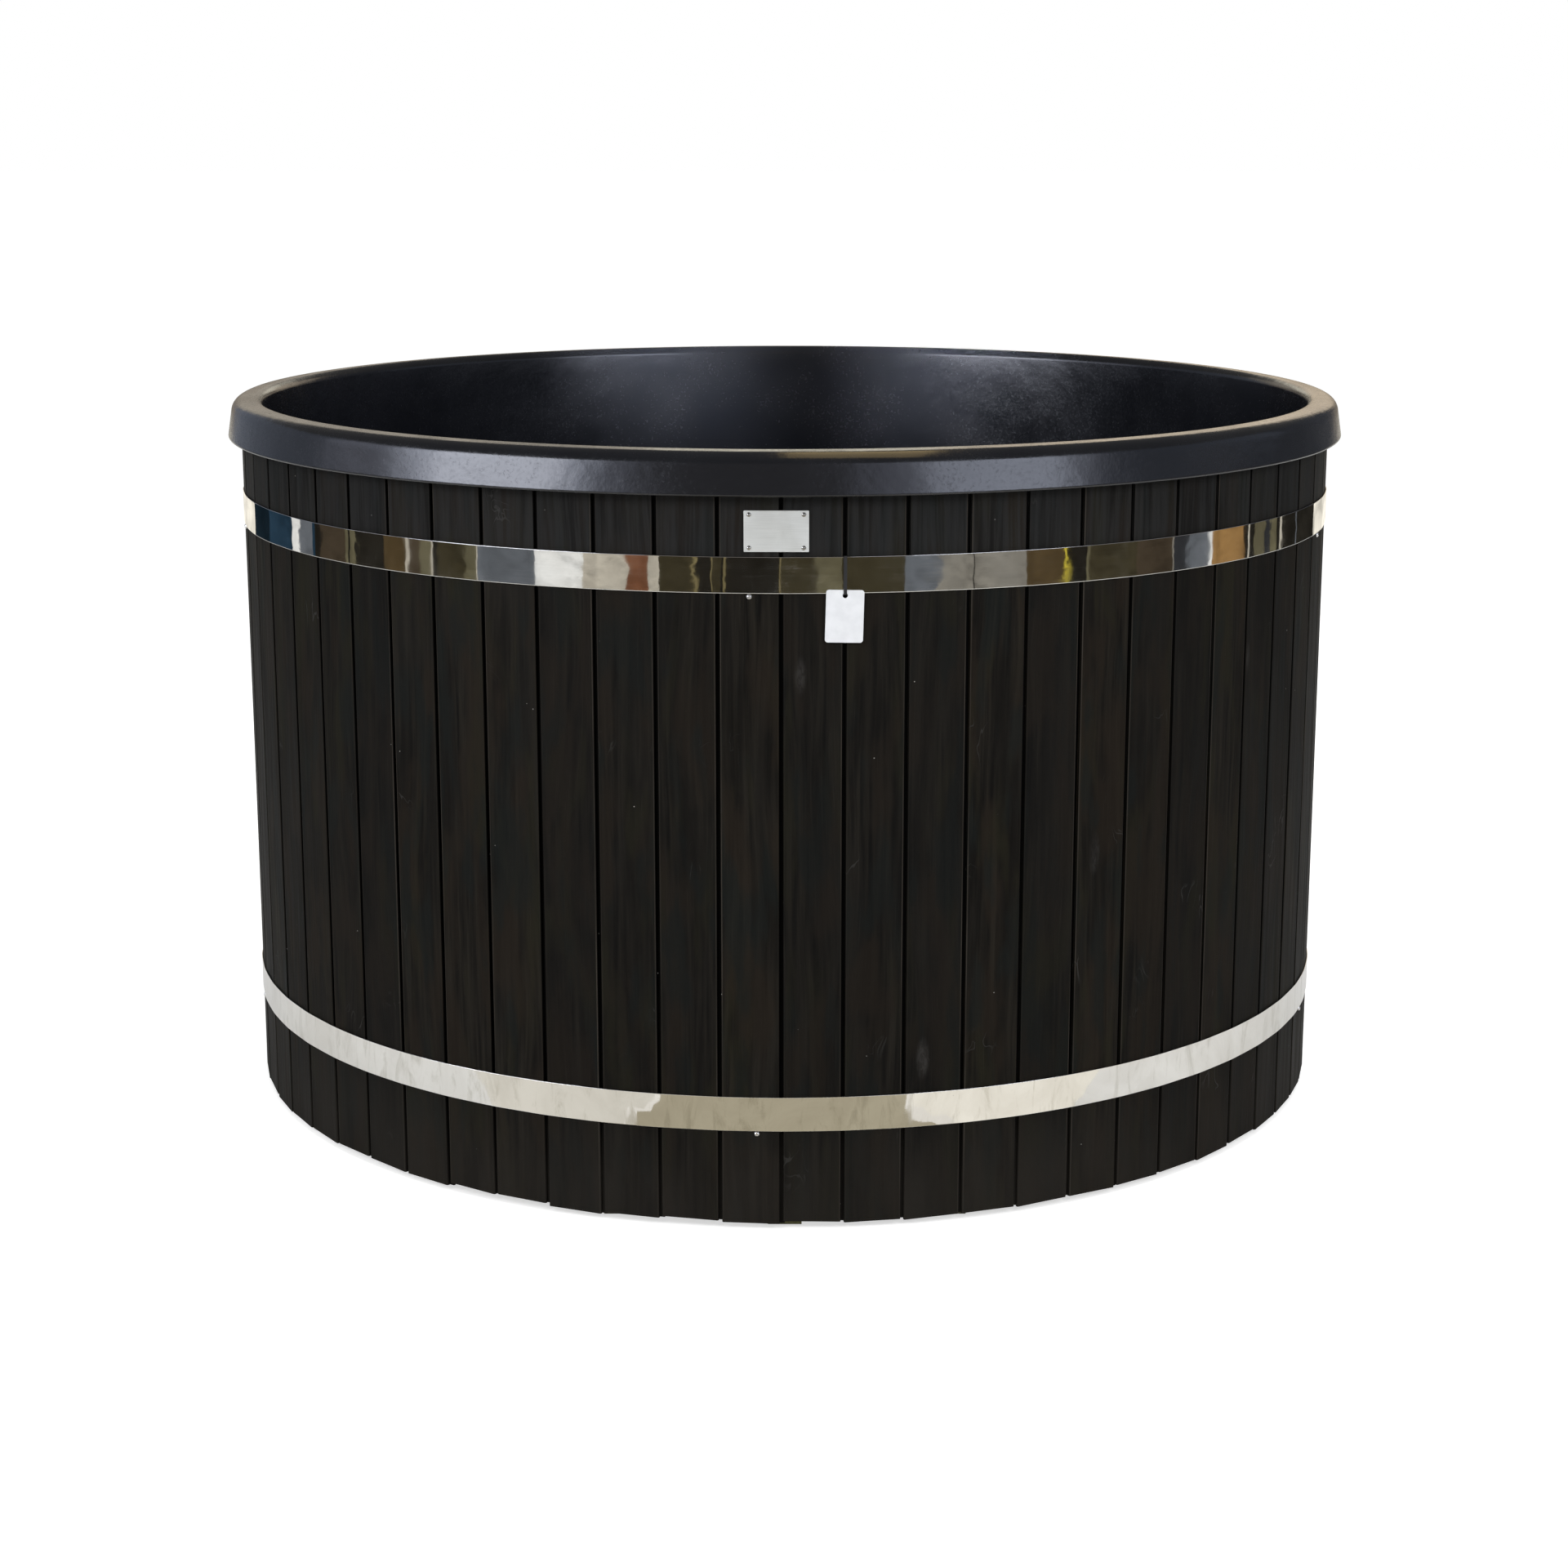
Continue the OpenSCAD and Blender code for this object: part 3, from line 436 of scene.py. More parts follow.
def painted_edge_highlights(g, side, across, tone, wide):
    """Painted highlight: a pale line beside each board's edges, where light would catch them, stronger at
    one of them.
    """
    edge_highlight = g.minus(g.range(side, 0.935, 0.955), g.range(side, 0.970, 0.985))
    leaning = g.times(across, g.minus(tone, 0.62))
    edge_highlight = g.times(edge_highlight, g.range(leaning, -0.16, 0.16, 0.1, 1.0))
    return g.times(edge_highlight, g.range(wide, 0.3, 0.62, 0.2, 0.95))


def stained_wood():
    """Softwood under a dark stain: upright grain, knots, painted highlights along the edges, painted shade
    in the joints, scuffs and splashes.
    """
    g = Surface("stained_wood", specular=0.02)
    grain = g.attribute("grain")
    tone = g.attribute("tone", "Fac")
    across = g.attribute("across", "Fac")
    side = g.maths("ABSOLUTE", across)
    height = g.height()
    bent = swayed(g, grain)
    wide = g.streaks(bent, (42.0, 42.0, 3.4), 3.0, 0.55)
    streak = g.streaks(bent, (130.0, 60.0, 4.4), 5.0, 0.60)
    fibre = g.streaks(bent, (800.0, 300.0, 9.0), 3.0, 0.6)
    blotch = g.streaks(grain, (14.0, 14.0, 3.2), 4.0, 0.55)
    knot, rings = wood_knots(g, grain)
    scuff = wood_scuffs(g, grain)
    edge_highlight = painted_edge_highlights(g, side, across, tone, wide)
    # Paler, bluer streaks on the boards above the upper band
    paler_top = g.times(g.range(height, 0.93, 0.98), g.range(streak, 0.34, 0.64, 0.16, 0.56))
    splash = g.times(g.range(height, 0.20, 0.02), g.range(blotch, 0.25, 0.7, 0.25, 0.8))
    speck = g.times(g.range(g.cells(grain, 46.0), 0.045, 0.02),
                    g.range(g.noise(grain, 17.0, 1.0), 0.63, 0.67))
    colour = g.tint((0.0046, 0.0043, 0.0038), (0.0185, 0.0162, 0.0126), streak, 0.28, 0.76)
    colour = g.tint(colour, (0.0062, 0.0056, 0.0048), wide, 0.40, 0.66, 0.7)
    colour = g.tint(colour, (0.0150, 0.0138, 0.0118), blotch, 0.45, 0.72, 0.5)
    for hue, scale, start, amount in WOOD_HUES:
        patch = g.streaks(bent, scale, 3.0)
        colour = g.tint(colour, hue, patch, start, start + 0.16, amount)
    colour = g.tint(colour, (0.0062, 0.0063, 0.0062), tone, 0.3, 1.0, 0.4)
    colour = g.mix(paler_top, colour, (0.0232, 0.0240, 0.0250))
    colour = g.tint(colour, (0.032, 0.028, 0.023), fibre, 0.55, 0.85, 0.25)
    colour = g.mix(rings, colour, (0.032, 0.030, 0.028))
    colour = g.mix(g.times(scuff, 0.6), colour, (0.042, 0.041, 0.039))
    # Painted highlight: a pale line along the board edges, as if lit
    colour = g.mix(edge_highlight, colour, (0.040, 0.035, 0.029))
    # Painted shade: the board sides in the joints, off the front face, are made near black
    colour = g.tint(colour, (0.0014, 0.0013, 0.0012), side, 0.975, 0.995)
    colour = g.mix(speck, colour, (0.35, 0.34, 0.32))
    colour = g.mix(splash, colour, (0.0215, 0.0190, 0.0160))
    rough = g.minus(g.range(streak, 0.25, 0.8, 0.46, 0.64), g.times(scuff, 0.15))
    flaws = g.plus(knot, scuff)
    return g.finish(colour, rough, (streak, 0.0007, 0.5), (fibre, 0.00025, 0.6), (flaws, 0.0008, 0.5))


def band_steel():
    """Polished sheet steel: rolling marks, a few pits, and dried water stains low down."""
    g = Surface("band_steel", metallic=1.0)
    place = g.place()
    low = g.range(g.height(), 0.6, 0.3, 0.12, 1.0)
    rolled = g.streaks(place, (1.5, 1.5, 900.0), 3.0)
    smear = g.noise(place, 9.0, 5.0, 0.6, 0.6)
    drip = g.streaks(place, (42.0, 42.0, 11.0), 6.0, 0.65, 0.8)
    stain = g.times(g.range(drip, 0.50, 0.70, 0.0, 0.8), low)
    pit = g.times(g.range(g.cells(place, 70.0), 0.07, 0.03), g.range(g.noise(place, 12.0, 1.0), 0.60, 0.66))
    colour = g.tint((0.62, 0.605, 0.57), (0.72, 0.71, 0.68), smear, 0.3, 0.7)
    colour = g.mix(stain, colour, (0.50, 0.485, 0.44))
    colour = g.mix(pit, colour, (0.30, 0.29, 0.27))
    rough = g.plus(g.range(smear, 0.35, 0.75, 0.018, 0.055), g.times(stain, 0.16))
    rough = g.plus(rough, g.range(rolled, 0.4, 0.7, 0.0, 0.02))
    dents = g.noise(place, 16.0, 2.0)
    fine = g.noise(place, 160.0, 3.0)
    return g.finish(colour, rough, (dents, 0.0006, 0.5), (fine, 0.00002, 0.4))


def turned_steel(name, colour, roughness):
    """Machined or drawn metal with fine marks and a few stains."""
    g = Surface(name, metallic=1.0)
    place = g.place()
    marks = g.streaks(place, (60.0, 700.0, 60.0), 3.0)
    stain = g.noise(place, 30.0, 5.0, 0.6)
    stained = tuple(c * 0.72 for c in colour)
    rough = g.range(stain, 0.3, 0.8, roughness - 0.05, roughness + 0.12)
    return g.finish(g.tint(colour, stained, stain, 0.35, 0.75), rough, (marks, 0.00004, 0.6))


def brushed_plate():
    """Pale sheet metal brushed along its length."""
    g = Surface("plate_metal", metallic=0.55)
    place = g.place()
    brush = g.streaks(place, (22.0, 22.0, 2600.0), 3.0, 0.6)
    colour = g.tint((0.58, 0.59, 0.57), (0.67, 0.68, 0.66), brush, 0.3, 0.7)
    rough = g.range(g.noise(place, 40.0), 0.3, 0.7, 0.36, 0.48)
    return g.finish(colour, rough, (brush, 0.00003, 0.6))


def card():
    """White coated card with a faint fibre."""
    g = Surface("tag_card", specular=0.35)
    place = g.place()
    fibre = g.noise(place, 900.0, 4.0, 0.6)
    colour = g.tint((0.66, 0.67, 0.69), (0.72, 0.73, 0.75), g.noise(place, 60.0, 3.0), 0.3, 0.7)
    return g.finish(colour, g.range(fibre, 0.3, 0.7, 0.42, 0.55), (fibre, 0.00003, 0.5))


def raw_wood(name, pale, dark, along=0):
    """Sawn softwood or plywood with grain along one axis."""
    g = Surface(name, specular=0.3)
    place = g.place()
    scale = [120.0, 120.0, 120.0]
    scale[along] = 3.0
    grain = g.streaks(place, scale, 6.0, 0.6)
    colour = g.tint(dark, pale, grain, 0.3, 0.7)
    colour = g.tint(colour, tuple(c * 0.7 for c in dark), g.noise(place, 6.0), 0.35, 0.75, 0.4)
    return g.finish(colour, g.range(grain, 0.3, 0.7, 0.65, 0.85), (grain, 0.0005, 0.6))


def foam():
    """Rigid insulation with a beaded face."""
    g = Surface("insulation", specular=0.2)
    beads = g.cells(g.place(), 260.0)
    colour = g.tint((0.72, 0.70, 0.60), (0.55, 0.53, 0.45), beads, 0.1, 0.6)
    return g.finish(colour, 0.9, (beads, 0.0006, 0.6))


def brass():
    """Cast and machined brass with darker stains."""
    g = Surface("valve_brass", metallic=1.0)
    place = g.place()
    cast = g.noise(place, 320.0, 3.0)
    stain = g.noise(place, 35.0, 5.0, 0.6)
    colour = g.tint((0.62, 0.45, 0.17), (0.34, 0.23, 0.09), stain, 0.35, 0.7)
    return g.finish(colour, g.range(stain, 0.3, 0.75, 0.26, 0.5), (cast, 0.00015, 0.5))


def dipped_grip():
    """Soft red plastic dipped over the lever."""
    g = Surface("grip_plastic")
    soft = g.noise(g.place(), 70.0)
    colour = g.tint((0.36, 0.018, 0.012), (0.23, 0.012, 0.010), soft, 0.3, 0.75)
    return g.finish(colour, g.range(soft, 0.3, 0.7, 0.3, 0.45), (soft, 0.0004, 0.4))


def rubber():
    """Matt black rubber."""
    g = Surface("rubber", specular=0.35)
    grit = g.noise(g.place(), 500.0, 3.0)
    colour = g.tint((0.012, 0.012, 0.012), (0.020, 0.020, 0.021), grit, 0.3, 0.7)
    return g.finish(colour, g.range(grit, 0.3, 0.7, 0.6, 0.78), (grit, 0.00008, 0.5))


MATERIALS = {
    "tub_plastic": moulded_plastic("tub_plastic", (0.0045, 0.0050, 0.0068), (0.0062, 0.0067, 0.0088), 0.19),
    "insulation": foam(),
    "plywood": raw_wood("plywood", (0.50, 0.34, 0.18), (0.36, 0.22, 0.11)),
    "treated_wood": raw_wood("treated_wood", (0.24, 0.23, 0.10), (0.15, 0.14, 0.06), along=1),
    "cladding_wood": stained_wood(),
    "black_plastic": moulded_plastic("black_plastic", (0.0065, 0.0065, 0.007), (0.010, 0.010, 0.011), 0.48),
    "band_steel": band_steel(),
    "fitting_steel": turned_steel("fitting_steel", (0.74, 0.73, 0.71), 0.36),
    "screw_steel": turned_steel("screw_steel", (0.40, 0.39, 0.36), 0.24),
    "plate_metal": brushed_plate(),
    "tag_card": card(),
    "rubber": rubber(),
    "valve_brass": brass(),
    "grip_plastic": dipped_grip(),
}


# Every CAD node gets its slot's material, and the nodes listed below get small rounded edges where they are
# sharp
EDGE_BEVELS_MM = {
    "bench_riser": 0.8, "bench_ribs": 1.0, "upper_band_lugs": 0.5, "lower_band_lugs": 0.5,
    "tag_loop": 0.3, "drain_lever": 0.6, "drain_lever_grip": 1.4, "drain_lever_nut": 0.5,
    "drain_strainer": 0.4, "upper_pipe_grille": 0.4, "lower_pipe_grille": 0.4,
}
for part in frame["record"]["subparts"]:
    node = frame["nodes"][part["node"]]
    for slot in node.material_slots:
        slot.material = MATERIALS[part["material_slot"]]
    if part["node"] in EDGE_BEVELS_MM:
        bevel = node.modifiers.new("edges", "BEVEL")
        bevel.width = EDGE_BEVELS_MM[part["node"]] * MM
        bevel.segments = 2
        bevel.limit_method = "ANGLE"
        bevel.angle_limit = math.radians(40)


# Shell
def wall_r(z):
    """Radius of the shell's wet wall at a height."""
    return SHELL_TOP_R - (TOTAL_H - LIP_R - SHELL_T - z) * math.tan(DRAFT)


def shell_profile():
    """Half section of the shell, as a closed list of (radius, height)."""
    draft = math.degrees(DRAFT)
    flare = math.degrees(FLARE)
    lip_water = LIP_R + SHELL_T
    lip_x, lip_z = SHELL_TOP_R + lip_water, TOTAL_H - lip_water
    shoulder_water = SHOULDER_R + SHELL_T
    shoulder_x = BODY_R + RIM_OVERHANG - shoulder_water
    top_drop = (shoulder_x - lip_x) * math.tan(TOP_FALL)
    shoulder_z = TOTAL_H - shoulder_water - top_drop
    skirt_bottom = TOTAL_H - RIM_H
    edge_z = skirt_bottom + SKIRT_EDGE_R
    floor_z = SHELL_BOTTOM + SHELL_T
    fillet_z = floor_z + FLOOR_FILLET
    fillet_x = wall_r(fillet_z) - FLOOR_FILLET / math.cos(DRAFT)

    def skirt_r(z, depth):
        return (shoulder_x + (shoulder_water - depth) / math.cos(FLARE)
                + (shoulder_z - z) * math.tan(FLARE))

    wall_heights = [fillet_z + (lip_z - fillet_z) * i / 30 for i in range(1, 30)]
    wet = [(fillet_x * i / 12, floor_z) for i in range(12)]
    wet += arc(fillet_x, fillet_z, FLOOR_FILLET, -90, -draft, 14)
    wet += [(wall_r(z), z) for z in wall_heights]
    wet += arc(lip_x, lip_z, lip_water, 180 - draft, 90, 14)
    wet += [(lip_x + (shoulder_x - lip_x) * i / 4, TOTAL_H - top_drop * i / 4) for i in range(1, 4)]
    wet += arc(shoulder_x, shoulder_z, shoulder_water, 90 - math.degrees(TOP_FALL), flare, 18)
    skirt_top = wet[-1][1]
    skirt_heights = [skirt_top + (edge_z - skirt_top) * i / 6 for i in range(1, 6)] + [edge_z + 1.5 * MM]
    wet += [(skirt_r(z, 0), z) for z in skirt_heights]
    wet += arc(skirt_r(edge_z, SKIRT_EDGE_R), edge_z, SKIRT_EDGE_R, flare, -90, 8)
    dry = [(skirt_r(skirt_bottom, SHELL_T), skirt_bottom)]
    dry += arc(shoulder_x, shoulder_z, SHOULDER_R, flare, 90, 10)
    dry += arc(lip_x, lip_z, LIP_R, 90, 180 - draft, 8)
    dry += arc(fillet_x, fillet_z, FLOOR_FILLET + SHELL_T, -draft, -90, 10)
    return wet + dry + [(0.0, SHELL_BOTTOM)]


def shell_waves(angle, radius, height):
    """Slow waves that a big moulding keeps, always drawn inwards from the true form."""
    if radius < 0.7:
        return radius, height
    wave = (math.sin(3 * angle + 0.7) + 0.7 * math.sin(7 * angle + 2.1 + 2.5 * height)
            + 0.5 * math.sin(13 * angle + 5.0 * height) + 0.25 * math.sin(29 * angle + 1.3))
    depth = (2.45 - wave) * WAVE_DEPTH
    top = depth * 0.5 if height > TOTAL_H - 5 * MM else 0.0
    return radius - SKIN - depth, height - top


def build_shell():
    mesh = mesh_from("inner_tub_moulding", *lathe(shell_profile(), 360, shell_waves))
    seats, holes = [], []
    for name in STOVE_PIPES:
        z = middle(name)[2]
        inner = math.sqrt(wall_r(z - PIPE_SEAT_R) ** 2 - PIPE_SEAT_R ** 2)
        outer = wall_r(z + PIPE_SEAT_R) + SHELL_T / math.cos(DRAFT)
        seats.append(back_rod(PIPE_SEAT_R, inner, outer, z, 96))
        holes.append(back_rod(PIPE_HOLE_R, inner - CUT_MARGIN, outer + CUT_MARGIN, z))
    drain_x, drain_y = middle("drain_outlet")[:2]
    low, high = SHELL_BOTTOM - CUT_MARGIN, SHELL_BOTTOM + SHELL_T + CUT_MARGIN
    points, faces = lathe([(0, low), (DRAIN_HOLE_R, low), (DRAIN_HOLE_R, high), (0, high)], 64)
    holes.append(([(drain_x + x, drain_y + y, z) for x, y, z in points], faces))
    mesh = cut(mesh, seats, "UNION")
    mesh = cut(mesh, holes)
    tidy(mesh, 30)
    add_piece("tub_moulding", mesh, "tub_plastic", ["inner_tub"])


def build_seat():
    nose_x = BENCH_FRONT_R + BENCH_NOSE_R
    nose_z = SEAT_TOP - BENCH_NOSE_R
    foot_z = SEAT_TOP - BENCH_NOSE_H
    outer = wall_r(SEAT_TOP) - BENCH_GAP - SKIN
    profile = [(outer, SEAT_TOP - BENCH_T)]
    profile += [(outer + (nose_x - outer) * i / 12, SEAT_TOP) for i in range(12)]
    profile += arc(nose_x, nose_z, BENCH_NOSE_R, 90, 180, 10)
    profile += [(BENCH_FRONT_R, foot_z), (BENCH_FRONT_R + BENCH_T, foot_z)]
    profile += arc(nose_x, nose_z, BENCH_NOSE_R - BENCH_T, 180, 90, 6)
    mesh = mesh_from("seat_moulding", *lathe(profile, 240))
    add_piece("seat_moulding", mesh, "tub_plastic", ["bench_seat"])


# Boards
def board_section():
    """Closed outline of a board seen from above, as (across, distance out) points."""
    back = BODY_R - BOARD_T
    core = BODY_R - BOARD_T / 2
    core_half = core * math.tan(BOARD_STEP / 2)
    tongue_end = core_half + TONGUE_REACH
    tongue_low, tongue_high = core - TONGUE_T / 2, core + TONGUE_T / 2
    groove_end = TONGUE_REACH + GROOVE_DEPTH_GAP - core_half
    groove_low, groove_high = tongue_low - GROOVE_GAP, tongue_high + GROOVE_GAP
    chamfer = 0.8 * MM
    centre = FACE_HALF - BOARD_EDGE_R
    flat = 0.6 * MM
    front = arc(-centre, BODY_R - BOARD_EDGE_R, BOARD_EDGE_R, 180, 90, 5)
    front += [(flat - centre, BODY_R)]
    front += [(centre * (2 * i / 8 - 1), BODY_R) for i in range(1, 8)]
    front += [(centre - flat, BODY_R)]
    front += arc(centre, BODY_R - BOARD_EDGE_R, BOARD_EDGE_R, 90, 0, 5)
    tongue = [
        (FACE_HALF, tongue_high), (tongue_end - chamfer, tongue_high), (tongue_end, tongue_high - chamfer),
        (tongue_end, tongue_low + chamfer), (tongue_end - chamfer, tongue_low), (FACE_HALF, tongue_low),
    ]
    foot = [
        (FACE_HALF, back + chamfer), (FACE_HALF - chamfer, back),
        (chamfer - FACE_HALF, back), (-FACE_HALF, back + chamfer),
    ]
    groove = [
        (-FACE_HALF, groove_low), (groove_end, groove_low),
        (groove_end, groove_high), (-FACE_HALF, groove_high),
    ]
    return front + tongue + foot + groove


SECTION = board_section()


def build_board(index, chance):
    """One board's points, faces, grain coordinates and distance across."""
    azimuth = JOINT_AZ + (index + 0.5) * BOARD_STEP
    sunk = chance.uniform(0.0, 0.7) * MM
    bow = chance.uniform(-0.5, 0.0) * MM
    bow_phase = chance.uniform(0, math.pi)
    cup = chance.uniform(0.0, 0.35) * MM
    lean = chance.uniform(-0.5, 0.5) * MM
    bottom = BOARD_BOTTOM + chance.uniform(0.0, 4.5) * MM
    skew = chance.uniform(-1.2, 1.2) * MM
    offset = Vector([chance.uniform(0, 40) for _ in range(3)])
    points, grain, across_values = [], [], []
    for step in range(HEIGHT_STEPS + 1):
        share = step / HEIGHT_STEPS
        for across, out in SECTION:
            low = bottom + skew * across / FACE_HALF if step == 0 else bottom
            z = low + (BOARD_TOP - low) * share
            bent = bow * math.sin(math.pi * share + bow_phase) ** 2
            cupped = -cup * (1 - (across / FACE_HALF) ** 2) if out > BODY_R - 1 * MM else 0.0
            points.append(turned(azimuth, across + lean * (share - 0.5), out - sunk + bent + cupped, z))
            grain.append(Vector((across, out, z)) + offset)
            # Points off the front face get 1.05, which the wood paints near black as shade in the joints
            across_values.append(across / FACE_HALF if out > BODY_R - 3 * MM else 1.05)
    return points, capped_faces(HEIGHT_STEPS + 1, len(SECTION)), grain, across_values


def stamp_attributes(mesh, grain, across, tone):
    """Keeps each board's own grain position, edge distance and tone on its points."""
    flat_grain = [number for vector in grain for number in vector]
    mesh.attributes.new("grain", "FLOAT_VECTOR", "POINT").data.foreach_set("vector", flat_grain)
    for name, values in (("across", across), ("tone", tone)):
        mesh.attributes.new(name, "FLOAT", "POINT").data.foreach_set("value", values)


def back_cutters():
    """Holes for the stove pipes and the notch for the drain pipe."""
    near, far = BODY_R - BOARD_T - 3 * CUT_MARGIN, BODY_R + CUT_MARGIN
    cutters = [back_rod(BOARD_HOLE_R, near, far, middle(name)[2]) for name in STOVE_PIPES]
    drain_x = middle("drain_pipe")[0]
    outline = [(drain_x + DRAIN_NOTCH_R, -CUT_MARGIN)]
    outline += arc(drain_x, middle("drain_hose_tail")[2], DRAIN_NOTCH_R, 0, 180, 32)
    outline += [(drain_x - DRAIN_NOTCH_R, -CUT_MARGIN)]
    points = [(x, y, z) for y in (near, far) for x, z in outline]
    cutters.append((points, capped_faces(2, len(outline))))
    return cutters


def build_boards():
    chance = random.Random(63)
    for group in range(BOARD_COUNT // BOARDS_PER_NODE):
        parts, grain, across, tone = [], [], [], []
        for index in range(group * BOARDS_PER_NODE, (group + 1) * BOARDS_PER_NODE):
            points, faces, board_grain, board_across = build_board(index, chance)
            parts.append((points, faces))
            grain += board_grain
            across += board_across
            tone += [chance.random()] * len(points)
        name = "boards_%d" % (group + 1)
        mesh = plain_mesh(name, *joined(parts))
        stamp_attributes(mesh, grain, across, tone)
        tidy(mesh, 28)
        centre = JOINT_AZ + (group + 0.5) * BOARDS_PER_NODE * BOARD_STEP
        if abs(centre - BACK) < BOARD_STEP * BOARDS_PER_NODE / 2:
            mesh = cut(mesh, back_cutters())
            tidy(mesh, 28)
        add_piece(name, mesh, "cladding_wood", ["cladding_boards_%d" % (group + 1)])


# Bands
def band_depth(azimuth, depths):
    """How far the tight band is drawn in towards the flat face of a board, as a mean of seven places."""
    total = 0.0
    for i in range(-3, 4):
        place = (azimuth + i * BAND_BLEND - JOINT_AZ) / BOARD_STEP
        share = place % 1.0 * 2 - 1
        total += (1 - share * share) * depths[int(place // 1) % BOARD_COUNT]
    return total / 7


def band_section():
    """Closed outline of a band, as (radius, height above its lower edge)."""
    inner = BAND_IN_R + BAND_EDGE_R
    outer = BAND_IN_R + BAND_T - 0.05 * MM
    low, high = BAND_EDGE_R, BAND_W - BAND_EDGE_R
    section = arc(outer - BAND_EDGE_R, high, BAND_EDGE_R, 90, 0, 3)
    section += [(outer, high - 0.5 * MM)]
    section += [(outer, BAND_W * (1 - i / 8)) for i in range(1, 8)]
    section += [(outer, low + 0.5 * MM)]
    section += arc(outer - BAND_EDGE_R, low, BAND_EDGE_R, 0, -90, 3)
    section += arc(inner, low, BAND_EDGE_R, -90, -180, 3)
    section += arc(inner, high, BAND_EDGE_R, -180, -270, 3)
    return section


def build_band(node, seed):
    chance = random.Random(seed)
    low_z = heights(node)[0]
    depths = [chance.uniform(0.25, 0.85) * MM for _ in range(BOARD_COUNT)]
    half_gap = math.asin(BAND_END_GAP / 2 / (BAND_IN_R + BAND_T))
    section = band_section()
    steps = BAND_STEPS_PER_BOARD * BOARD_COUNT
    points = []
    for i in range(steps + 1):
        azimuth = BACK + half_gap + (2 * math.pi - 2 * half_gap) * i / steps
        drawn = band_depth(azimuth, depths)
        for radius, height in section:
            ripple = 0.06 * MM * math.sin(31 * azimuth + 40 * height) * math.sin(height / BAND_W * math.pi)
            points.append(turned(azimuth, 0, radius - drawn - abs(ripple), low_z + height))
    mesh = mesh_from(node + "_strip", points, capped_faces(steps + 1, len(section)), 40)
    add_piece(node + "_strip", mesh, "band_steel", [node])


# Screws
def screw_parts(azimuth, out, up, across, head_r, head_h, shank_r, shank_l):
    """A round-headed screw, and the upright and level bars that cut its cross recess."""
    ball = (head_r ** 2 + head_h ** 2) / (2 * head_h)
    cap = math.degrees(math.asin(min(1.0, head_r / ball)))
    profile = [(0, out - shank_l), (shank_r, out - shank_l), (shank_r, out), (head_r, out)]
    for i in range(1, 10):
        angle = math.radians(cap * (1 - i / 9))
        profile.append((ball * math.sin(angle), out + head_h - ball + ball * math.cos(angle)))
    solid = radial_lathe(profile, azimuth, up, across, 40)
    slot_w, slot_l = head_r * 0.16, head_r * 0.55
    top, bottom = out + head_h + 1 * MM, out + head_h * 0.45
    bars = []
    for half_u, half_z in ((slot_w, slot_l), (slot_l, slot_w)):
        corners = [turned(azimuth, across + u * half_u, r, up + z * half_z)
                   for r in (bottom, top) for u, z in SQUARE]
        bars.append((corners, capped_faces(2, 4)))
    return solid, *bars


def build_screws(name, node, places, sizes, material):
    solids, upright, level = zip(*[screw_parts(*place, *sizes) for place in places])
    mesh = mesh_from(name, *joined(solids), 30)
    mesh = cut(mesh, [joined(upright), joined(level)])
    tidy(mesh, 30)
    add_piece(name, mesh, "fitting_steel", [node], material=material)


def build_all_screws():
    for name, shift in (("upper", 0.0), ("lower", LOWER_SCREW_SHIFT)):
        node = name + "_band_rest_screws"
        z = heights(name + "_band")[0] - REST_SCREW_DROP
        boards = [int(k * BOARD_COUNT / REST_SCREW_COUNT + 0.5) - 1 for k in range(REST_SCREW_COUNT)]
        places = [(JOINT_AZ + (board + 0.5) * BOARD_STEP, BODY_R, z, shift) for board in boards]
        build_screws(name + "_rest_screw_set", node, places, REST_SCREW, "fitting_steel")
    plate_z = middle("nameplate")[2]
    places = [(PLATE_AZ, CORNER_R + 1.1 * MM, plate_z + side_z * PLATE_SCREW_Z, side_x * PLATE_SCREW_X)
              for side_x in (-1, 1) for side_z in (-1, 1)]
    build_screws("plate_screw_set", "nameplate_screws", places, PLATE_SCREW, "screw_steel")


# Flat pieces with rounded corners
def flat_mesh(name, width, height, corner, thickness, bevel, hole=None):
    """A flat piece in the XZ plane, its back at y = 0, with an optional (x, z, radius) hole."""
    curve = bpy.data.curves.new(name, "CURVE")
    curve.dimensions = "2D"
    curve.fill_mode = "BOTH"
    curve.extrude = thickness / 2 - bevel
    curve.bevel_depth = bevel
    curve.bevel_resolution = 2
    curve.offset = -bevel
    outline = []
    for side_x, side_z, start in ((1, 1, 0), (-1, 1, 90), (-1, -1, 180), (1, -1, 270)):
        corner_x, corner_z = side_x * (width / 2 - corner), side_z * (height / 2 - corner)
        outline += arc(corner_x, corner_z, corner, start, start + 90, 6)
    loops = [outline]
    if hole:
        loops.append(arc(*hole, 0, -360 * 31 / 32, 31))
    for loop in loops:
        spline = curve.splines.new("POLY")
        spline.points.add(len(loop) - 1)
        for point, (x, z) in zip(spline.points, loop):
            point.co = (x, z, 0, 1)
        spline.use_cyclic_u = True
    holder = add_object(name, curve)
    mesh = evaluated_mesh(holder)
    bpy.data.objects.remove(holder)
    for vertex in mesh.vertices:
        x, y, z = vertex.co
        vertex.co = (x, z + thickness / 2, y)
    return mesh


def slice_mesh(mesh, xs, zs):
    """Cuts a flat mesh along lines so that it can be bent."""
    work = bmesh.new()
    work.from_mesh(mesh)
    bmesh.ops.remove_doubles(work, verts=work.verts, dist=0.005 * MM)
    for value, normal in [(x, (1, 0, 0)) for x in xs] + [(z, (0, 0, 1)) for z in zs]:
        point = tuple(value * n for n in normal)
        everything = work.verts[:] + work.edges[:] + work.faces[:]
        bmesh.ops.bisect_plane(work, geom=everything, plane_co=point, plane_no=normal)
    work.to_mesh(mesh)
    work.free()


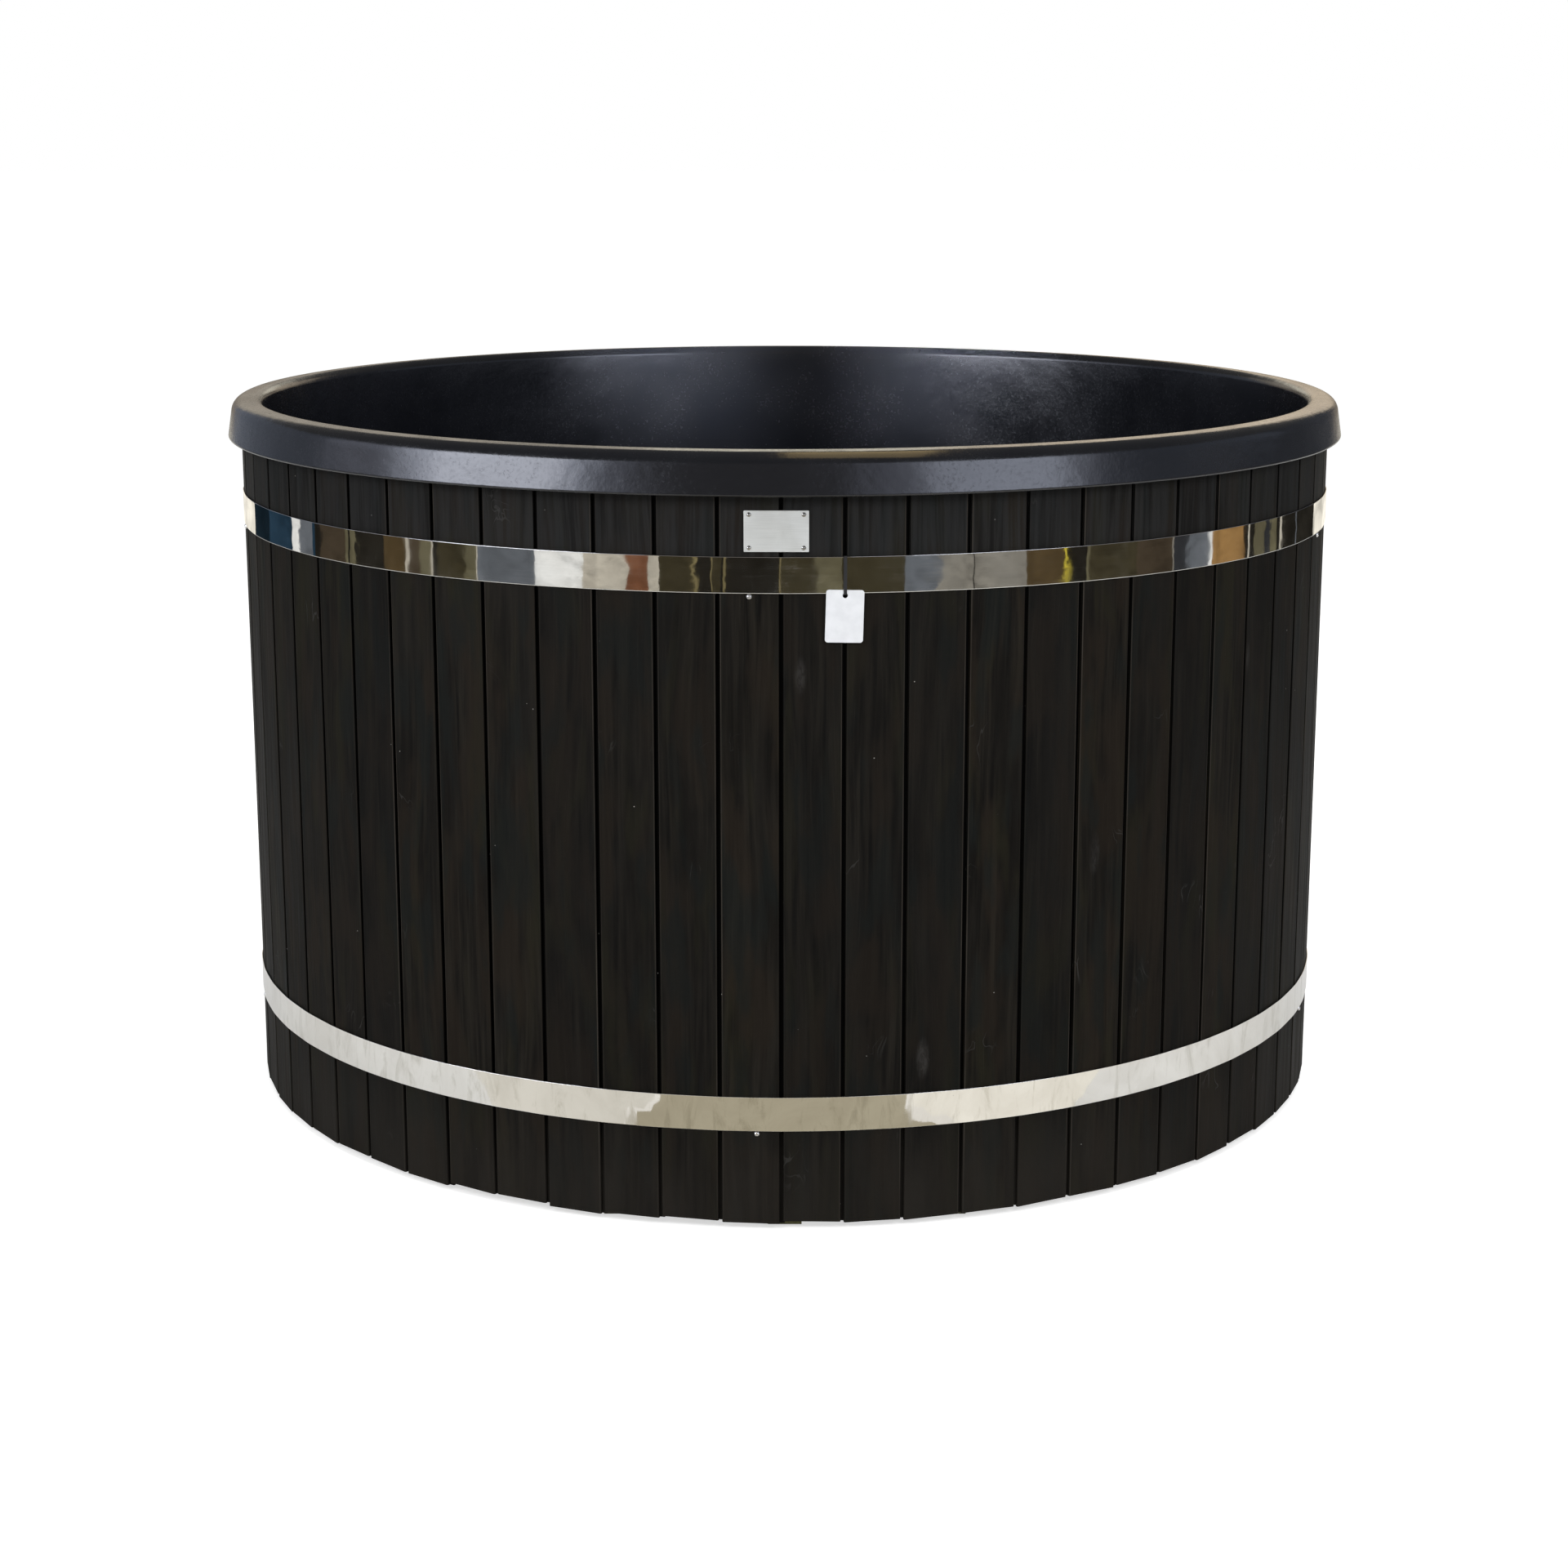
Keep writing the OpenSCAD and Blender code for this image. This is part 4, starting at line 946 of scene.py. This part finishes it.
def stand_on(mesh, azimuth, back_r, z, tilt=0.0):
    """Stands a flat mesh on the tub's face at a radius and a height."""
    sin, cos = math.sin(tilt), math.cos(tilt)
    for vertex in mesh.vertices:
        x, y, up = vertex.co
        vertex.co = turned(azimuth, x * cos - up * sin, back_r + y, z + x * sin + up * cos)


def build_plate():
    mesh = flat_mesh("plate", PLATE_W, PLATE_H, 1.2 * MM, PLATE_T, 0.22 * MM)
    stand_on(mesh, PLATE_AZ, CORNER_R + 0.1 * MM, middle("nameplate")[2])
    tidy(mesh, 30)
    add_piece("name_plate", mesh, "plate_metal", ["nameplate"])


def build_tag():
    """The tag, bowed a little, with its hole at the point that it swings round."""
    hole_z = TAG_H / 2 - TAG_HOLE_DROP
    mesh = flat_mesh("tag", TAG_W, TAG_H, 4 * MM, TAG_T, 0.2 * MM, (0.0, hole_z, TAG_HOLE_R))
    lines = [i / 12 - 0.5 for i in range(1, 12)]
    slice_mesh(mesh, [TAG_W * line for line in lines], [TAG_H * line for line in lines])
    for vertex in mesh.vertices:
        x, y, z = vertex.co
        vertex.co.z = z - hole_z
        vertex.co.y = y + TAG_BOW * (1 - (2 * x / TAG_W) ** 2) * (0.5 - z / TAG_H)
    hang_z = heights("hang_tag")[1] - TAG_HOLE_DROP
    stand_on(mesh, TAG_AZ, CORNER_R + 0.3 * MM + BAND_T + 0.6 * MM, hang_z, TAG_TILT)
    tidy(mesh, 30)
    add_piece("card_tag", mesh, "tag_card", ["hang_tag"], "tag")


# Stove pipes and drain fittings, with their radii in millimetres
def build_stove_pipe(name):
    """A pipe with a flange, a thread, and a spigot with a bead for the hose clip."""
    low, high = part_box(name)
    inner, end = low.y, high.y
    step = BODY_R + 6 * MM
    bead = end - 9 * MM
    bore, thread, flange, spigot = 27, 32, 52, 29.6
    flange_t = 4
    start = inner + flange_t * MM
    profile = in_metres(inner, (bore, 0.6), (bore + 0.6, 0), (flange - 1.5, 0), (flange - 0.4, 0.5),
                        (flange, 1.6), (flange, flange_t), (thread, flange_t))
    for i in range(int((step - start) / THREAD_PITCH) - 1):
        ridge = start + (i + 0.5) * THREAD_PITCH
        profile += in_metres(ridge, (thread - 0.8, 0), (thread, 0.5), (thread, 0.9), (thread - 0.8, 1.4))
    profile += in_metres(step, (thread, -1.5), (thread, -0.5), (thread - 0.5, 0), (spigot, 0))
    swell = [(spigot + 0.4 * math.sin(math.pi * i / 6), -2 + 4 * i / 6) for i in range(7)]
    profile += in_metres(bead, (spigot, -3), *swell, (spigot, 3))
    profile += in_metres(end, (spigot, -0.8), (spigot - 0.6, 0), (bore + 0.4, 0), (bore, -0.5))
    mesh = mesh_from(name + "_turned", *radial_lathe(profile, BACK, middle(name)[2], 0, 96), 30)
    add_piece(name + "_turned", mesh, "fitting_steel", [name])


def build_hose_tail():
    """A neck, a flange and a tail with five barbs."""
    low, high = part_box("drain_hose_tail")
    start, end = low.y, high.y
    axis_x, axis_z = middle("drain_hose_tail")[::2]
    neck, bore, tail = 22, 19, 25
    barb, flange_t = 7.5, 8
    flange = (high.x - low.x) / 2 / MM
    back = end - 48 * MM
    profile = in_metres(start, (bore, 0), (neck - 0.5, 0), (neck, 0.5))
    profile += in_metres(back, (neck, 0), (flange - 0.6, 0), (flange, 0.6), (flange, flange_t - 0.6),
                         (flange - 0.6, flange_t))
    for i in range(5):
        at = flange_t + 1 + i * barb
        profile += in_metres(back, (tail - 1.6, at), (tail, at + 0.6), (tail, at + 1.6),
                             (tail - 1.6, at + barb - 0.4))
    profile += in_metres(end, (tail - 1.8, -0.6), (tail - 2.4, 0), (bore, 0))
    mesh = mesh_from("hose_tail", *radial_lathe(profile, BACK, axis_z, -axis_x, 96), 30)
    add_piece("hose_tail", mesh, "valve_brass", ["drain_hose_tail"])


build_shell()
build_seat()
build_boards()
build_band("upper_band", 11)
build_band("lower_band", 12)
build_all_screws()
build_plate()
build_tag()
for pipe in STOVE_PIPES:
    build_stove_pipe(pipe)
build_hose_tail()


# Camera
CAMERA_AT = (0.0, -4.8456, 1.5674)
CAMERA_PITCH = 13.006
camera_data = bpy.data.cameras.new("camera")
camera_data.sensor_width = 36
camera_data.lens = 68.455
camera_data.shift_x = -0.0005
camera = add_object("camera", camera_data)
camera.location = CAMERA_AT
camera.rotation_euler = (math.radians(90 - CAMERA_PITCH), 0, 0)
scene.camera = camera


# Stage
def glow(name, colour, mottled=False):
    """A material that only shines, evenly or a little mottled."""
    g = Graph(bpy.data.materials.new(name))
    strength = 1.0
    if mottled:
        patches = g.streaks(g.place(), (1.7, 1.7, 14.0), 3.0)
        strength = g.range(patches, 0.3, 0.7, 0.68, 1.32, "LINEAR")
    light = g.node("Emission", {"Color": colour, "Strength": strength})
    g.node("OutputMaterial", {"Surface": light.outputs[0]})
    return g.owner


def floor_material():
    """Pale floor that keeps the shadow and shows near white elsewhere."""
    g = Graph(bpy.data.materials.new("floor"))
    path = g.node("LightPath").outputs
    bounced = g.maths("MAXIMUM", path["Is Glossy Ray"], path["Is Transmission Ray"])
    strength = g.plus(g.times(bounced, 0.12), g.times(path["Is Camera Ray"], 0.62))
    diffuse = g.node("BsdfDiffuse", {"Color": (0.74, 0.735, 0.72)})
    light = g.node("Emission", {"Color": (1, 1, 1), "Strength": strength})
    both = g.node("AddShader", {0: diffuse.outputs[0], 1: light.outputs[0]})
    g.node("OutputMaterial", {"Surface": both.outputs[0]})
    return g.owner


def stage_piece(name, points, faces, material, only_reflected=True):
    mesh = plain_mesh(name, points, faces)
    mesh.materials.append(material)
    piece = add_object(name, mesh)
    if only_reflected:
        for ray in ("camera", "diffuse", "shadow", "transmission"):
            setattr(piece, "visible_" + ray, False)


FLOOR_HALF = 60
FLOOR_Z = -0.5 * MM
floor_corners = [(x * FLOOR_HALF, y * FLOOR_HALF, FLOOR_Z) for x, y in SQUARE]
stage_piece("floor", floor_corners, [(0, 1, 2, 3)], floor_material(), False)

# Panels round the studio that only reflections show: (tone, azimuth at its end) from the back
TONES = {
    "white": (0.95, 0.96, 0.96), "cream": (0.60, 0.56, 0.48), "silver": (0.28, 0.265, 0.235),
    "slate": (0.15, 0.165, 0.19), "navy": (0.008, 0.016, 0.024), "teal": (0.022, 0.048, 0.080),
    "khaki": (0.16, 0.145, 0.09), "tan": (0.38, 0.22, 0.085), "rust": (0.22, 0.095, 0.05),
    "umber": (0.095, 0.066, 0.032), "brown": (0.072, 0.055, 0.037), "olive": (0.055, 0.047, 0.027),
    "dark": (0.022, 0.020, 0.016), "gloom": (0.036, 0.038, 0.043), "gold": (0.80, 0.66, 0.08),
    "brass": (0.24, 0.20, 0.10), "backdrop": (0.98, 0.93, 0.82), "window": (9.8, 10.2, 11.6),
    "haze": (4.3, 4.6, 5.5), "dusk": (1.05, 1.1, 1.34), "mist": (0.10, 0.105, 0.12),
    "dim": (0.27, 0.30, 0.37), "shade": (0.24, 0.225, 0.22), "peat": (0.075, 0.064, 0.047),
    "sand": (0.42, 0.36, 0.29), "wheat": (0.86, 0.70, 0.50), "ivory": (1.5, 1.4, 1.15),
    "straw": (1.3, 1.1, 0.85), "ash": (0.80, 0.72, 0.60),
}
BAND_PANELS = [
    ("backdrop", -138), ("navy", -126), ("teal", -114), ("white", -111.6), ("slate", -107.6),
    ("teal", -105.3), ("dark", -101), ("brown", -96.8), ("khaki", -94.6), ("dark", -93.4),
    ("khaki", -90), ("dark", -84), ("umber", -77), ("cream", -76.3), ("brown", -74),
    ("khaki", -70), ("cream", -69.2), ("dark", -67.2), ("olive", -64), ("khaki", -61.4),
    ("cream", -60.8), ("slate", -48), ("white", -39), ("cream", -29.5), ("rust", -25.6), ("cream", -22),
    ("olive", -17.5), ("brass", -17), ("dark", -14.2), ("brass", -13.8), ("olive", -10), ("dark", -9),
    ("brass", -8.2), ("dark", -1.9), ("brass", -1.4), ("olive", 5.4), ("khaki", 10.0), ("olive", 21.5),
    ("slate", 28.4), ("silver", 35.6), ("dark", 36.1), ("silver", 45.3), ("umber", 52.8), ("gold", 53.15),
    ("dark", 60), ("khaki", 61.2), ("olive", 71), ("brown", 78.5), ("silver", 79.2), ("gloom", 85.2),
    ("slate", 88.4), ("white", 89.5), ("tan", 99.8), ("dark", 102.2), ("cream", 103.6), ("dark", 107.8),
    ("khaki", 109.4), ("gloom", 110.6), ("khaki", 113.4), ("dark", 116.8), ("cream", 118.4), ("dark", 124),
    ("slate", 124.8), ("dark", 137), ("backdrop", 180),
]
MIDDLE_PANELS = [("sand", -146), ("dim", -92), ("shade", 92), ("mist", 146), ("sand", 180)]
FRONT_PANELS = [
    ("dim", -97), ("dusk", -77), ("haze", -69), ("window", -41), ("haze", -35), ("dusk", -27),
    ("shade", 14), ("dusk", 26), ("haze", 54), ("dusk", 62), ("dim", 112), ("mist", 150),
]
RIM_PANELS = [("peat", -169), ("sand", -150)] + FRONT_PANELS + [("wheat", 168), ("peat", 180)]
TOP_PANELS = [("ivory", -175), ("ash", -150)] + FRONT_PANELS + [("straw", 174), ("ivory", 180)]
BAND_LEVELS = [0.0, 0.06, 0.10, 0.14, 0.18, 0.24, 0.30, 0.45, 0.60]
PANEL_R = 6.0
PANEL_H = 3.4


def panel_row(row, panels, levels, sway=0.0, mottled=False):
    """A row of upright panels whose edges sway a little with height."""
    start = -180.0
    for number, (tone, end) in enumerate(panels):
        steps = max(1, int((end - start) / 6))
        points = []
        for level, z in enumerate(levels):
            left = start + sway * math.sin(2.9 * level + 0.2 * start)
            right = end + sway * math.sin(2.9 * level + 0.2 * end)
            for i in range(steps + 1):
                points.append(turned(math.radians(left + (right - left) * i / steps), 0, PANEL_R, z))
        name = "%s_panel_%d" % (row, number)
        faces = ring_faces(len(levels), steps + 1, False, False)
        stage_piece(name, points, faces, glow(name, TONES[tone], mottled))
        start = end


panel_row("band", BAND_PANELS, BAND_LEVELS, 0.35, True)
panel_row("middle", MIDDLE_PANELS, [0.60, 1.35])
panel_row("rim", RIM_PANELS, [1.35, 1.78])
panel_row("top", TOP_PANELS, [1.78, PANEL_H])

# Ceiling that only reflections show, and an amber card over the near rim that the rim mirrors
ceiling = [turned(2 * math.pi * i / 48, 0, PANEL_R, PANEL_H) for i in range(48)]
stage_piece("ceiling", ceiling, [tuple(range(48))], glow("ceiling", (0.14, 0.135, 0.125)))
amber = [(x, y, 1.36) for x, y in ((0, -0.97), (0.28, -0.97), (0.25, -0.54), (0, -0.54))]
stage_piece("amber_card", amber, [(0, 1, 2, 3)], glow("amber_card", (2.0, 1.5, 0.75)))

# Patches of floor in front that only reflections show: (left, right, colour) in metres
FLOOR_PATCHES = [
    (-2.2, -0.46, (0.90, 0.87, 0.80)), (-0.46, -0.43, (1.08, 1.05, 1.0)), (-0.43, 0.41, (0.53, 0.48, 0.36)),
    (0.41, 0.45, (1.08, 1.05, 1.0)), (0.45, 2.2, (1.13, 1.09, 1.0)),
]
PATCH_STEPS = 40
for number, (left, right, colour) in enumerate(FLOOR_PATCHES):
    points = []
    for i in range(PATCH_STEPS + 1):
        y = -0.95 - 1.2 * i / PATCH_STEPS
        for x in (left, right):
            wander = 0.022 * math.sin(31 * y + 2 * x) + 0.012 * math.sin(83 * y + 1)
            points.append((x + wander, y, 1 * MM))
    name = "floor_patch_%d" % number
    stage_piece(name, points, ring_faces(PATCH_STEPS + 1, 2, False, False), glow(name, colour))


# Light
def aim_at(holder, target):
    holder.rotation_euler = (Vector(target) - holder.location).to_track_quat("-Z", "Y").to_euler()


def softbox(name, azimuth, distance, height, width, tall, power, colour=(1, 1, 1)):
    """A soft lamp that points at the tub and isn't seen in reflections."""
    lamp = bpy.data.lights.new(name, "AREA")
    lamp.shape = "RECTANGLE"
    lamp.size, lamp.size_y = width, tall
    lamp.energy = power
    lamp.color = colour
    holder = add_object(name, lamp)
    holder.location = turned(math.radians(azimuth), 0, distance, height)
    aim_at(holder, (0, 0, 0.6))
    holder.visible_camera = False
    holder.visible_glossy = False
    return holder


softbox("left_softbox", -36, 4.4, 3.0, 1.8, 1.5, 70, (0.97, 0.98, 1.0))
softbox("right_softbox", 32, 4.4, 3.0, 1.8, 1.5, 70, (0.98, 0.98, 1.0))
softbox("top_softbox", 10, 0.8, 3.6, 2.4, 2.4, 60, (1.0, 0.98, 0.95))
softbox("back_softbox", 170, 4.2, 2.8, 2.0, 1.5, 60, (1.0, 0.97, 0.93))

# Two narrow lamps above the tub that brighten the far inside wall
for side, lamp_x, power in (("left", -0.22, 1.4), ("right", 0.32, 1.9)):
    lamp = softbox(side + "_inside_light", 0, 0.9, 2.6, 0.30, 0.05, power, (1.0, 1.0, 0.98))
    lamp.location.x = lamp_x
    lamp.data.spread = math.radians(8)
    aim_at(lamp, (lamp_x, 0.83, 1.06))


def studio_world():
    """A soft pale sky that lights the tub, and shows as plain white."""
    g = Graph(bpy.data.worlds.new("studio"))
    path = g.node("LightPath").outputs
    seen = g.maths("MAXIMUM", path["Is Camera Ray"], path["Is Glossy Ray"])
    seen = g.maths("MAXIMUM", seen, path["Is Transmission Ray"])
    sky = g.node("Background", {"Color": (0.96, 0.98, 1.0), "Strength": 0.55})
    white = g.node("Background", {"Color": (1, 1, 1), "Strength": 1.0})
    choice = g.node("MixShader", {0: seen, 1: sky.outputs[0], 2: white.outputs[0]})
    g.node("OutputWorld", {"Surface": choice.outputs[0]})
    return g.owner


scene.world = studio_world()
scene.view_settings.view_transform = "Standard"
